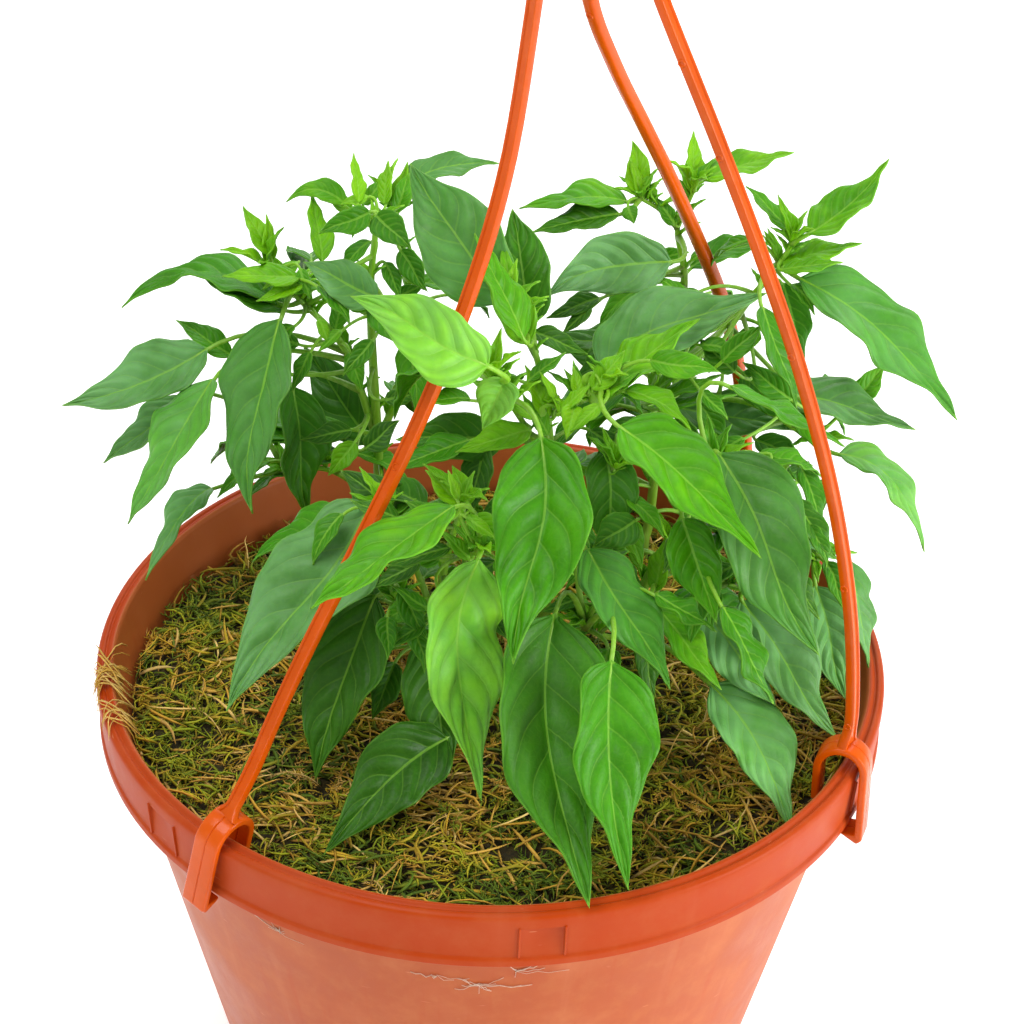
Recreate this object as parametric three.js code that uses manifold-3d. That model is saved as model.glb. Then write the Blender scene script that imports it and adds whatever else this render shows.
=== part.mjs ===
// Chilli pepper plants in a round hanging basket.
// Millimetres, +Z up. The origin is the middle of the pot's base, on its underside; -Y is the front.
// The basket is one moulded pot and one moulded hanger: three arms, a clip at the foot of each arm
// and a hook over them. Potting soil fills the pot, a moss mulch lies on the soil, and the stems of
// the plants stand in holes through both.
import * as THREE from "three";
import { mergeVertices } from "three/addons/utils/BufferGeometryUtils.js";
import Module from "manifold-3d";

const wasm = await Module();
wasm.setup();

// ---------- driving dimensions ----------

const GAP = 0.3; // clearance between neighbouring pieces
const SIDES = 48; // facets round the pot, the soil and the mulch

const POT_HEIGHT = 165;
const RIM_RADIUS = 125; // at the rounded shoulder of the rim
const BASE_RADIUS = 81.6;
const TAPER = 0.242; // growth of the radius for each millimetre of height
const WALL = 2.2;
const FLOOR = 2.6;
const BAND_HEIGHT = 20.5; // the skirt that hangs from the rim, outside the wall
const SKIRT_WALL = 2;
const BEAD = 0.7; // the bead along the skirt's lower edge
const SEAT_COUNT = 6; // shallow clip seats round the skirt
const SEAT_FIRST_ANGLE = -82;
const SEAT_WIDTH = 13;
const SEAT_DEPTH = 0.5;

const SOIL_EDGE = 142; // height of the soil at the wall
const SOIL_MOUND = 8; // how much higher the soil is in the middle
const MULCH_DEPTH = 5;
const MULCH_RELIEF = 1.3;
const STEM_HOLE_DEPTH = 22;

const CLIP_WIDTH = 9;
const CLIP_THICK = 2.4;
const CLIP_ARCH = 12.2; // clear width of the arch over the rim
const CLIP_INNER_LEG = 12; // how far the inner leg reaches below the rim's top
const CLIP_DROP = 28.7; // from the inside of the arch down to the catch
const CATCH_REACH = 5; // the catch passes under the skirt although the clip tips
const CATCH_HEIGHT = 3.4;
const ARM_WIDTH = 4.3;
const ARM_THICK = 3.4;
const ARM_FOOT_WIDTH = 8;
const HUB = new THREE.Vector3(18, 1, 462);
const HUB_RADIUS = 11;
const HUB_HEIGHT = 9;
const HOOK_WIRE = 5;
const HOOK_RADIUS = 13; // at the middle of the hook's wire
const HOOK_SHANK = 12;

const MERGE_DISTANCE = 1e-4;

// ---------- solids ----------

/** Closed three.js geometry -> solid. Slivers that merging leaves at a pole are dropped. */
function toSolid(geometry) {
  geometry.deleteAttribute("normal");
  geometry.deleteAttribute("uv");
  const merged = mergeVertices(geometry, MERGE_DISTANCE);
  const corners = merged.index.array;
  const kept = [];
  for (let i = 0; i < corners.length; i += 3) {
    const [a, b, c] = [corners[i], corners[i + 1], corners[i + 2]];
    if (a !== b && b !== c && c !== a) kept.push(a, b, c);
  }
  return new wasm.Manifold(new wasm.Mesh({
    numProp: 3,
    vertProperties: new Float32Array(merged.attributes.position.array),
    triVerts: new Uint32Array(kept),
  }));
}

/** Solid -> three.js geometry. */
function toGeometry(solid) {
  const mesh = solid.getMesh();
  const geometry = new THREE.BufferGeometry();
  geometry.setAttribute("position", new THREE.BufferAttribute(mesh.vertProperties, 3));
  geometry.setIndex(new THREE.BufferAttribute(mesh.triVerts, 1));
  geometry.computeVertexNormals();
  return geometry;
}

/** Turns a closed [radius, height] outline about the Z axis. */
function turned(outline, sides = SIDES) {
  const geometry = new THREE.LatheGeometry(outline.map(([r, z]) => new THREE.Vector2(r, z)), sides);
  return toSolid(geometry.rotateX(Math.PI / 2));
}

/** A geometry made from corner points and the triangles between them. */
function faceted(points, triangles) {
  const geometry = new THREE.BufferGeometry();
  const flat = points.flatMap((point) => [point.x, point.y, point.z]);
  geometry.setAttribute("position", new THREE.Float32BufferAttribute(flat, 3));
  geometry.setIndex(triangles);
  return geometry;
}

/**
 * Closed sweep through a row of points. `across` is the direction that each section's first
 * coordinate keeps to, and `sectionAt(k)` gives the section's corners at point k.
 */
function swept(points, across, sectionAt) {
  const corners = [];
  const triangles = [];
  const last = points.length - 1;
  points.forEach((point, k) => {
    const tangent = new THREE.Vector3()
      .subVectors(points[Math.min(k + 1, last)], points[Math.max(k - 1, 0)]).normalize();
    const side = across.clone().addScaledVector(tangent, -across.dot(tangent)).normalize();
    const normal = new THREE.Vector3().crossVectors(tangent, side);
    for (const [a, b] of sectionAt(k)) {
      corners.push(point.clone().addScaledVector(side, a).addScaledVector(normal, b));
    }
  });
  const count = sectionAt(0).length;
  for (let k = 0; k < last; k++) {
    for (let i = 0; i < count; i++) {
      const j = (i + 1) % count;
      const [p, q] = [k * count, (k + 1) * count];
      triangles.push(p + i, p + j, q + j, p + i, q + j, q + i);
    }
  }
  for (let i = 1; i < count - 1; i++) {
    triangles.push(0, i + 1, i);
    triangles.push(last * count, last * count + i, last * count + i + 1);
  }
  return toSolid(faceted(corners, triangles));
}

/** Corners of a regular section. */
function round(radius, sides) {
  return Array.from({ length: sides }, (_, i) => {
    const angle = (2 * Math.PI * i) / sides;
    return [radius * Math.cos(angle), radius * Math.sin(angle)];
  });
}

/** A point at a radius, an angle in degrees and a height. */
function polar(radius, degrees, z = 0) {
  const angle = THREE.MathUtils.degToRad(degrees);
  return new THREE.Vector3(radius * Math.cos(angle), radius * Math.sin(angle), z);
}

const box = (x, y, z) => new THREE.BoxGeometry(x, y, z);

// ---------- pot ----------

const wallOutside = (z) => BASE_RADIUS + TAPER * z;
const wallInside = (z) => wallOutside(z) - WALL;

function makePot() {
  const skirtFoot = POT_HEIGHT - BAND_HEIGHT;
  const skirtRoof = POT_HEIGHT - 5;
  const skirtOutside = RIM_RADIUS - 1.3;
  const outline = [
    [0, 0], [BASE_RADIUS - 2.1, 0], [BASE_RADIUS - 0.4, 0.6], [wallOutside(2.4), 2.4],
    [wallOutside(skirtRoof), skirtRoof], [RIM_RADIUS - 2.6, skirtRoof],
    [skirtOutside - SKIRT_WALL + 0.2, skirtFoot], [skirtOutside + BEAD, skirtFoot],
    [skirtOutside + BEAD + 0.2, skirtFoot + 0.7], [skirtOutside + BEAD, skirtFoot + 2.7],
    [skirtOutside, skirtFoot + 3.1], [RIM_RADIUS - 0.1, POT_HEIGHT - 4.2],
    [RIM_RADIUS, POT_HEIGHT - 2.4], [RIM_RADIUS - 0.7, POT_HEIGHT - 0.9],
    [RIM_RADIUS - 2.1, POT_HEIGHT - 0.4], [RIM_RADIUS - 2.9, POT_HEIGHT - 1.1],
    [RIM_RADIUS - 3.6, POT_HEIGHT - 0.6], [RIM_RADIUS - 4.1, POT_HEIGHT],
    [RIM_RADIUS - 5.1, POT_HEIGHT], [RIM_RADIUS - 5.7, POT_HEIGHT - 0.8],
    [wallInside(skirtRoof), skirtRoof], [wallInside(FLOOR + 2.4), FLOOR + 2.4],
    [wallInside(FLOOR) - 2, FLOOR], [0, FLOOR],
  ];
  let pot = turned(outline);
  const seatHeight = BAND_HEIGHT - 9;
  const seatMiddle = POT_HEIGHT - 5.4 - seatHeight / 2;
  for (let k = 0; k < SEAT_COUNT; k++) {
    const angle = SEAT_FIRST_ANGLE + (360 / SEAT_COUNT) * k;
    const face = RIM_RADIUS - 0.9 - SEAT_DEPTH;
    const cutter = box(4, SEAT_WIDTH, seatHeight).translate(face + 2, 0, seatMiddle);
    pot = pot.subtract(toSolid(cutter.rotateZ(THREE.MathUtils.degToRad(angle))));
  }
  return pot;
}

// ---------- soil and mulch ----------

/** Height of the soil's surface at a distance from the pot's middle. */
const soilTop = (r) => SOIL_EDGE + SOIL_MOUND * (1 - (r / wallInside(SOIL_EDGE)) ** 2);

function makeSoil() {
  const foot = FLOOR + GAP;
  const edge = wallInside(SOIL_EDGE) - GAP;
  return turned([
    [0, foot], [wallInside(FLOOR) - 2 - GAP, foot], [wallInside(FLOOR + 2.4) - GAP, FLOOR + 2.6],
    [edge, SOIL_EDGE], [edge * 0.8, soilTop(edge * 0.8)], [edge * 0.5, soilTop(edge * 0.5)],
    [0, soilTop(0)],
  ]);
}

/** Height of the mulch's tufts above or below its mean surface. */
function tufts(x, y) {
  const coarse = Math.sin(x / 7.1 + 0.8) * Math.cos(y / 8.3 - 0.4);
  const fine = Math.sin((x + 1.7 * y) / 5.2) * Math.sin((1.4 * x - y) / 6.1);
  return MULCH_RELIEF * (0.6 * coarse + 0.4 * fine);
}

function makeMulch() {
  const rings = 5;
  const points = [];
  const triangles = [];
  const radiusAt = (k, edge) => edge * (k / rings);
  const upper = wallInside(SOIL_EDGE + MULCH_DEPTH) - 2 * GAP;
  const lower = wallInside(SOIL_EDGE) - 2 * GAP;
  for (const [edge, lift, relief] of [[upper, MULCH_DEPTH, 1], [lower, GAP, 0]]) {
    points.push(new THREE.Vector3(0, 0, soilTop(0) + lift));
    for (let k = 1; k <= rings; k++) {
      for (let i = 0; i < SIDES; i++) {
        const point = polar(radiusAt(k, edge), (360 * i) / SIDES);
        const bumps = k < rings ? relief * tufts(point.x, point.y) : 0;
        point.z = soilTop(Math.min(point.length(), lower)) + lift + bumps;
        points.push(point);
      }
    }
  }
  const sheet = 1 + rings * SIDES;
  const at = (layer, k, i) => layer * sheet + 1 + (k - 1) * SIDES + (i % SIDES);
  const face = (layer, a, b, c) => triangles.push(...(layer === 0 ? [a, b, c] : [a, c, b]));
  for (let i = 0; i < SIDES; i++) {
    for (const layer of [0, 1]) {
      face(layer, layer * sheet, at(layer, 1, i), at(layer, 1, i + 1));
      for (let k = 1; k < rings; k++) {
        face(layer, at(layer, k, i), at(layer, k + 1, i), at(layer, k + 1, i + 1));
        face(layer, at(layer, k, i), at(layer, k + 1, i + 1), at(layer, k, i + 1));
      }
    }
    triangles.push(at(0, rings, i), at(1, rings, i), at(1, rings, i + 1));
    triangles.push(at(0, rings, i), at(1, rings, i + 1), at(0, rings, i + 1));
  }
  return toSolid(faceted(points, triangles));
}

// ---------- hanger ----------

// Each arm stands over its clip. Its middle line is given as [distance from the clip towards the
// hub, height], so each arm lies in one upright plane. The clips sit loosely on the rim: `play` is
// the outer leg's distance from the skirt. The three angles say how each has settled: its feet
// swung along the rim to the left seen from outside (lean), its outer leg's foot swung outwards
// (tip), and all of it turned about the upright through it (turn).
const CLIP_RADIUS = 124;
const ARMS = [
  {
    clipAngle: -130, play: 0.3, lean: 10.5, tip: 4, turn: 0,
    line: [[3.8, 172.4], [8, 177], [15.5, 187], [24, 201], [38.5, 222], [53.5, 242], [80, 279],
      [100.5, 316], [114.5, 354], [123, 400], [127, 430], [133, 458]],
  },
  {
    clipAngle: -25, play: 0.8, lean: 3, tip: 1, turn: 8,
    line: [[3.6, 172.4], [2.8, 188], [6.3, 222], [14.8, 260], [28.2, 299], [42.5, 332],
      [58.5, 365], [79, 405], [91.5, 432], [106, 459]],
  },
  {
    clipAngle: 46, play: 0.6, lean: 8, tip: 3, turn: 0,
    line: [[3.8, 172.4], [6, 190], [11.5, 218], [20, 244], [31.5, 269], [55.5, 312], [72.3, 340],
      [88, 366], [101.5, 393], [106.5, 420], [109, 457]],
  },
];

/** Clip that straddles the rim: an arch, a short inner leg and an outer leg with its catch. */
function makeClip({ clipAngle, play, lean, tip, turn }) {
  const outer = RIM_RADIUS + GAP + play;
  const inner = outer - CLIP_ARCH;
  const middle = (outer + inner) / 2;
  const spring = POT_HEIGHT;
  const crown = spring + CLIP_ARCH / 2; // the clip swings about this height
  const catchTop = crown - CLIP_DROP;
  const catchFoot = catchTop - CATCH_HEIGHT;
  const legFoot = POT_HEIGHT - CLIP_INNER_LEG;
  const section = new THREE.Shape();
  section.moveTo(outer, spring);
  section.lineTo(outer, catchTop);
  section.lineTo(outer - CATCH_REACH, catchTop);
  section.lineTo(outer + 0.8, catchFoot);
  section.lineTo(outer + CLIP_THICK, catchFoot + 1.4);
  section.lineTo(outer + CLIP_THICK, spring);
  section.absarc(middle, spring, CLIP_ARCH / 2 + CLIP_THICK, 0, Math.PI, false);
  section.lineTo(inner - CLIP_THICK, legFoot);
  section.lineTo(inner, legFoot);
  section.lineTo(inner, spring);
  section.absarc(middle, spring, CLIP_ARCH / 2, Math.PI, 0, true);
  const clip = new THREE.ExtrudeGeometry(section, {
    depth: CLIP_WIDTH, bevelEnabled: false, curveSegments: 6,
  });
  clip.translate(0, 0, -CLIP_WIDTH / 2).rotateX(Math.PI / 2);
  const radians = THREE.MathUtils.degToRad;
  clip.translate(-middle, 0, -crown).rotateY(radians(-tip)).rotateX(radians(-lean));
  clip.rotateZ(radians(turn)).translate(middle, 0, crown);
  return toSolid(clip.rotateZ(radians(clipAngle)));
}

/** Section of an arm: a flat bar with broken edges. */
function armSection(width) {
  const [w, h] = [width / 2, ARM_THICK / 2];
  return [
    [-w, -h + 0.6], [-w + 0.8, -h], [w - 0.8, -h], [w, -h + 0.6],
    [w, h - 0.6], [w - 0.8, h], [-w + 0.8, h], [-w, h - 0.6],
  ];
}

function makeArm({ clipAngle, line }) {
  const clip = polar(CLIP_RADIUS, clipAngle);
  const inward = new THREE.Vector3(HUB.x, HUB.y, 0).sub(clip).normalize();
  const curve = new THREE.CatmullRomCurve3(line.map(([reach, z]) => {
    const point = clip.clone().addScaledVector(inward, reach);
    return point.setZ(z);
  }), false, "centripetal");
  const across = new THREE.Vector3(0, 0, 1).cross(inward);
  const steps = 15;
  const flareSteps = 1;
  const points = curve.getSpacedPoints(steps);
  return swept(points, across, (k) => {
    const flare = Math.max(0, 1 - k / flareSteps);
    return armSection(ARM_WIDTH + (ARM_FOOT_WIDTH - ARM_WIDTH) * flare);
  });
}

function makeHubAndHook() {
  const hub = new THREE.CylinderGeometry(HUB_RADIUS, HUB_RADIUS, HUB_HEIGHT, 20);
  hub.rotateX(Math.PI / 2).translate(HUB.x, HUB.y, HUB.z);
  const top = HUB.z + HUB_HEIGHT / 2;
  const eye = top + HOOK_SHANK + HOOK_RADIUS;
  const hook = [new THREE.Vector3(HUB.x, HUB.y, HUB.z)];
  hook.push(new THREE.Vector3(HUB.x, HUB.y, top + HOOK_SHANK * 0.4));
  const [from, to, steps] = [-90, 150, 12];
  for (let k = 0; k <= steps; k++) {
    const turn = THREE.MathUtils.degToRad(from + ((to - from) * k) / steps);
    hook.push(new THREE.Vector3(
      HUB.x + HOOK_RADIUS * Math.cos(turn), HUB.y, eye + HOOK_RADIUS * Math.sin(turn),
    ));
  }
  const across = new THREE.Vector3(0, 1, 0);
  return toSolid(hub).add(swept(hook, across, () => round(HOOK_WIRE / 2, 8)));
}

function makeHanger() {
  return ARMS.reduce(
    (whole, arm) => whole.add(makeClip(arm)).add(makeArm(arm)),
    makeHubAndHook(),
  );
}

// ---------- plants ----------

// The leaves are laid out as they are seen from one viewpoint in front of the basket and above it.
// A place seen from there is a sight line, [right, down] in steps of a 1024-step square view, and a
// depth, its Y. A blade is then worked out at its real size from where its base and tip are seen.
const EYE = new THREE.Vector3(3, -952, 895);
const EYE_PITCH = 35.31;
const EYE_YAW = 0.15;
const EYE_ROLL = 1.47;
const FOCAL = 3774; // steps of the view for a slope of one
const VIEW_CENTRE = 512;

const BLADE_THICK = 0.7;
const BLADE_BREADTH = 0.44; // width of a blade seen edge-on, as a share of its length
const OUTLINE_RISE = 0.62; // how a blade's outline widens from its base
const OUTLINE_FALL = 1.12; // and narrows to its tip
const WAVES = 2.2; // waves along each edge of a blade
const WAVE_LAG = 0.35;
const PETIOLE_THICK = [2, 1.4];
const PETIOLE_RISE = 25;
const GOLDEN_STEP = 0.6180339887;
const INNER_ARCH = 0.12;
const LARGE_BLADE = 34;
const STATIONS = [ // where a blade is split across, for blades above a length
  { above: 62, at: [0.12, 0.36, 0.62, 0.85] },
  { above: LARGE_BLADE, at: [0.17, 0.46, 0.78] },
  { above: 20, at: [0.28, 0.68] },
  { above: 0, at: [0.42] },
];
const SLIVER = 0.2; // facets finer than this are merged with their neighbours
const STEM_POINTS = 24; // places along a stem where a petiole may start

const PLANTS = [
  {
    name: "chilli_plant_back_left",
    foot: [-38, 65],
    stems: [
      { rooted: true, thick: [5.2, 2.2], through: [[379, 500, 62], [378, 442, 60], [372, 340, 57], [371, 284, 55], [376, 228, 55]] },
      { thick: [3.2, 1.6], through: [[378, 442, 60], [345, 350, 58], [300, 300, 57], [268, 268, 56]] },
      { thick: [3.2, 1.6], through: [[378, 442, 60], [402, 380, 62], [408, 300, 66], [396, 215, 68]] },
      { thick: [2.6, 1.6], through: [[379, 500, 62], [330, 470, 60], [285, 470, 58]] },
    ],
    leaves: [
      { base: [280, 305], tip: [121, 307], across: 26, depth: 56, via: [204, 272] },
      { base: [271, 256], tip: [243, 206], across: 22, depth: 56, lean: -5, arch: 0.05 },
      { base: [300, 277], tip: [222, 276], across: 22, depth: 50, lean: 10 },
      { base: [302, 284], tip: [256, 301], across: 18, depth: 48, lean: 15 },
      { base: [208, 348], tip: [62, 405], across: 58, depth: 58, via: [140, 384], lean: 5 },
      { base: [232, 356], tip: [176, 320], across: 25, depth: 62, lean: -5 },
      { base: [213, 378], tip: [127, 524], across: 45, depth: 46, lean: 5, arch: 0.12 },
      { base: [190, 398], tip: [103, 463], across: 34, depth: 66 },
      { base: [280, 318], tip: [252, 514], across: 66, depth: 42, via: [256, 414] },
      { base: [372, 445], tip: [303, 345], across: 58, depth: 66, lean: -15, arch: 0.06 },
      { base: [292, 385], tip: [308, 518], across: 50, depth: 62, lean: -15 },
      { base: [212, 488], tip: [145, 580], across: 27, depth: 50, via: [182, 515], lean: 12 },
      { base: [377, 298], tip: [303, 262], across: 46, depth: 42, lean: 5, arch: 0.12 },
      { base: [358, 203], tip: [354, 153], across: 13, depth: 56, lean: -10, arch: 0.03 },
      { base: [385, 205], tip: [388, 160], across: 15, depth: 60, lean: -10, arch: 0.03 },
      { base: [345, 205], tip: [286, 202], across: 22, depth: 60, via: [318, 190] },
      { base: [322, 262], tip: [312, 192], across: 22, depth: 50, lean: -5, arch: 0.04 },
      { base: [370, 212], tip: [318, 234], across: 28, depth: 46, lean: 10 },
      { base: [376, 215], tip: [412, 250], across: 34, depth: 46, lean: 15 },
      { base: [402, 188], tip: [499, 163], across: 26, depth: 72, via: [448, 167] },
      { base: [372, 300], tip: [404, 352], across: 30, depth: 46, lean: 15 },
      { base: [350, 352], tip: [362, 392], across: 22, depth: 50 },
      { base: [400, 250], tip: [428, 292], across: 26, depth: 60 },
      { base: [396, 212], tip: [410, 172], across: 20, depth: 64, lean: -10 },
      { base: [335, 330], tip: [345, 290], across: 20, depth: 56, lean: -10 },
      { base: [395, 385], tip: [455, 372], across: 40, depth: 66 },
    ],
    inner: {
      count: 6, seed: 11, from: [0, 3, 1], bearing: [60, 200], share: [0.38, 0.64], length: [32, 46],
    },
  },
  {
    name: "chilli_plant_back_right",
    foot: [50, 75],
    stems: [
      { rooted: true, thick: [4.8, 2.4], through: [[650, 515, 76], [664, 400, 73], [684, 290, 70], [677, 228, 70]] },
      { thick: [2, 1.4], through: [[677, 228, 70], [660, 210, 70], [640, 198, 70]] },
      { thick: [1.8, 1.4], through: [[677, 228, 70], [687, 205, 70], [694, 190, 69]] },
      { thick: [3, 1.4], through: [[664, 400, 73], [722, 330, 62], [776, 268, 52], [792, 244, 50]] },
      { thick: [2.8, 1.6], through: [[664, 400, 73], [745, 402, 62], [812, 440, 55]] },
    ],
    leaves: [
      { base: [643, 196], tip: [632, 140], across: 27, depth: 70, lean: -5, arch: 0.04 },
      { base: [692, 192], tip: [694, 131], across: 20, depth: 69, lean: -5, arch: 0.03 },
      { base: [700, 180], tip: [794, 152], across: 24, depth: 69, via: [748, 164] },
      { base: [628, 202], tip: [519, 208], across: 24, depth: 68, via: [578, 198], lean: 5 },
      { base: [620, 214], tip: [532, 232], across: 26, depth: 62, via: [575, 222] },
      { base: [672, 262], tip: [546, 297], across: 66, depth: 52, via: [604, 268], lean: 10 },
      { base: [660, 345], tip: [538, 338], across: 34, depth: 60 },
      { base: [690, 268], tip: [772, 243], across: 24, depth: 76, lean: -5, via: [730, 250] },
      { base: [792, 232], tip: [746, 186], across: 16, depth: 54, lean: -5 },
      { base: [808, 234], tip: [889, 158], across: 38, depth: 48, via: [852, 203], lean: -10, twist: 25 },
      { base: [782, 268], tip: [862, 243], across: 20, depth: 48, via: [822, 252] },
      { base: [782, 270], tip: [843, 262], across: 16, depth: 44, lean: 10 },
      { base: [798, 278], tip: [958, 420], across: 60, depth: 44, via: [888, 339], lean: 5 },
      { base: [852, 402], tip: [886, 366], across: 26, depth: 56, lean: -10 },
      { base: [782, 282], tip: [805, 364], across: 34, depth: 58, lean: -10 },
      { base: [775, 395], tip: [916, 429], across: 42, depth: 50, via: [845, 406] },
      { base: [670, 406], tip: [800, 430], across: 46, depth: 66, arch: 0.1 },
      { base: [755, 440], tip: [814, 466], across: 26, depth: 50, lean: 10 },
      { base: [742, 372], tip: [806, 428], across: 40, depth: 46, lean: 5 },
      { base: [838, 454], tip: [925, 552], across: 27, depth: 48, via: [893, 482], lean: 5 },
      { base: [628, 206], tip: [634, 224], across: 18, depth: 64, lean: 5 },
      { base: [676, 226], tip: [655, 196], across: 16, depth: 66, lean: -5 },
      { base: [760, 330], tip: [728, 352], across: 22, depth: 54 },
      { base: [650, 260], tip: [690, 252], across: 20, depth: 76 },
      { base: [640, 370], tip: [560, 345], across: 40, depth: 78, lean: -5 },
    ],
    inner: {
      count: 6, seed: 37, from: [0], bearing: [95, 185], share: [0.42, 0.62], length: [30, 40],
    },
  },
  {
    name: "chilli_plant_centre",
    foot: [17, 5],
    stems: [
      { rooted: true, thick: [6.4, 3.4], through: [[545, 600, 2], [553, 500, 0], [547, 415, 2]] },
      { thick: [2.6, 1.6], through: [[547, 415, 2], [538, 362, 5], [522, 318, 8], [508, 298, 10]] },
      { thick: [2.4, 1.6], through: [[553, 470, 1], [515, 410, -8], [492, 380, -14]] },
      { thick: [2.4, 1.6], through: [[547, 415, 2], [578, 402, 0], [604, 385, -2]] },
      { thick: [2.6, 1.8], through: [[549, 540, 1], [585, 510, -6], [615, 470, -10]] },
    ],
    leaves: [
      { base: [489, 366], tip: [350, 296], across: 76, depth: -40, lean: 10, arch: 0.1 },
      { base: [500, 305], tip: [410, 163], across: 92, depth: 14, lean: -10, arch: 0.08 },
      { base: [532, 326], tip: [512, 208], across: 62, depth: 20, lean: -15, arch: 0.08 },
      { base: [528, 345], tip: [492, 262], across: 40, depth: 2, lean: -5, arch: 0.05 },
      { base: [505, 380], tip: [482, 430], across: 44, depth: -20, lean: 15 },
      { base: [548, 418], tip: [525, 365], across: 20, depth: -4, lean: -5, arch: 0.03 },
      { base: [575, 405], tip: [566, 440], across: 24, depth: -10, lean: 20 },
      { base: [580, 398], tip: [573, 366], across: 14, depth: -4, lean: -10, arch: 0.03 },
      { base: [541, 436], tip: [513, 664], across: 104, depth: -31, via: [537, 548], lean: 16,
        fold: 16, wave: 0.035 },
      { base: [618, 426], tip: [762, 558], across: 68, depth: -24, via: [686, 480], lean: 10 },
      { base: [606, 450], tip: [615, 560], across: 56, depth: -4 },
      { base: [530, 430], tip: [455, 452], across: 30, depth: -10, lean: 10 },
      { base: [505, 435], tip: [395, 440], across: 52, depth: 2 },
      { base: [650, 360], tip: [720, 372], across: 30, depth: -2, lean: 5 },
      { base: [592, 390], tip: [625, 350], across: 26, depth: -6, lean: -10 },
      { base: [600, 372], tip: [768, 292], across: 74, depth: 16, via: [670, 324], lean: -5 },
      { base: [590, 398], tip: [700, 318], across: 38, depth: 2, lean: -10, arch: 0.1 },
      { base: [540, 480], tip: [470, 560], across: 56, depth: -4, lean: 10 },
    ],
    inner: {
      count: 5, seed: 31, from: [0, 2, 4], bearing: [60, 190], share: [0.35, 0.7], length: [32, 46],
    },
  },
  {
    name: "chilli_plant_front_left",
    foot: [-25, -15],
    stems: [
      { rooted: true, thick: [4.8, 2], through: [[432, 640, -20], [446, 560, -27], [463, 503, -30]] },
      { thick: [2.8, 1.6], through: [[436, 620, -21], [412, 560, -18], [385, 515, -14]] },
      { thick: [2.2, 1.4], through: [[432, 640, -20], [410, 625, -27], [398, 602, -30]] },
      { thick: [2.2, 1.6], through: [[446, 560, -27], [468, 555, -38], [480, 552, -46]] },
    ],
    leaves: [
      { base: [372, 500], tip: [226, 711], across: 98, depth: -14, lean: 10, via: [306, 600] },
      { base: [455, 505], tip: [310, 608], across: 46, depth: -51, via: [380, 559], lean: 24 },
      { base: [376, 594], tip: [315, 780], across: 78, depth: -26, via: [340, 690] },
      { base: [479, 558], tip: [482, 801], across: 82, depth: -54, via: [458, 668] },
      { base: [448, 738], tip: [323, 856], across: 80, depth: -52, via: [389, 780], lean: 15 },
      { base: [425, 640], tip: [452, 770], across: 70, depth: -32, arch: 0.08 },
      { base: [395, 662], tip: [372, 720], across: 32, depth: -30, lean: 5 },
      { base: [415, 600], tip: [380, 625], across: 24, depth: -38, lean: 10 },
      { base: [462, 505], tip: [425, 470], across: 22, depth: -30, lean: -5 },
      { base: [470, 505], tip: [452, 465], across: 24, depth: -24, lean: -5, arch: 0.04 },
      { base: [470, 520], tip: [512, 552], across: 34, depth: -40, lean: 15 },
      { base: [440, 560], tip: [392, 548], across: 24, depth: -32, lean: 5 },
      { base: [400, 590], tip: [428, 640], across: 26, depth: -40, lean: 10 },
      { base: [400, 600], tip: [372, 572], across: 20, depth: -30 },
      { base: [410, 520], tip: [340, 470], across: 50, depth: -8, lean: -5 },
      { base: [385, 520], tip: [245, 610], across: 50, depth: 4, arch: 0.08 },
    ],
    inner: {
      count: 3, seed: 43, from: [0, 1], bearing: [120, 200], share: [0.4, 0.8], length: [30, 42],
    },
  },
  {
    name: "chilli_plant_right",
    foot: [50, -5],
    stems: [
      { rooted: true, thick: [5.6, 2.2], through: [[640, 600, -8], [676, 530, -8], [712, 470, -6]] },
      { thick: [2.6, 1.6], through: [[628, 640, -8], [604, 636, -20], [585, 628, -28]] },
      { thick: [2.6, 1.6], through: [[655, 570, -8], [705, 575, -12], [745, 590, -14]] },
      { thick: [2.4, 1.4], through: [[690, 505, -7], [760, 520, 0], [815, 560, 6]] },
    ],
    leaves: [
      { base: [718, 452], tip: [820, 656], across: 96, depth: -14, lean: 5, arch: 0.12 },
      { base: [555, 613], tip: [590, 908], across: 118, depth: -57, lean: 16, via: [550, 755] },
      { base: [612, 660], tip: [629, 890], across: 86, depth: -75, via: [609, 760], lean: 10 },
      { base: [587, 548], tip: [671, 690], across: 60, depth: -34, lean: 10, arch: 0.1 },
      { base: [682, 518], tip: [717, 624], across: 54, depth: -26, lean: 5 },
      { base: [656, 607], tip: [722, 690], across: 34, depth: -30, lean: 10 },
      { base: [655, 592], tip: [667, 535], across: 22, depth: -20, lean: -5 },
      { base: [710, 684], tip: [792, 832], across: 66, depth: -34, via: [761, 752], lean: 10 },
      { base: [740, 600], tip: [838, 738], across: 62, depth: -12, lean: 5 },
      { base: [705, 610], tip: [776, 706], across: 60, depth: -20, lean: 5, wave: 0.05 },
      { base: [815, 585], tip: [846, 700], across: 50, depth: 4 },
      { base: [850, 560], tip: [869, 668], across: 26, depth: 14 },
      { base: [636, 520], tip: [592, 548], across: 40, depth: -24 },
      { base: [745, 480], tip: [700, 520], across: 30, depth: -16 },
      { base: [765, 490], tip: [835, 560], across: 40, depth: 8 },
      { base: [640, 625], tip: [655, 700], across: 30, depth: -26 },
    ],
    inner: {
      count: 4, seed: 53, from: [0, 3], bearing: [15, 85], share: [0.4, 0.75], length: [28, 38],
    },
  },
];

const degrees = THREE.MathUtils.degToRad;

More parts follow.
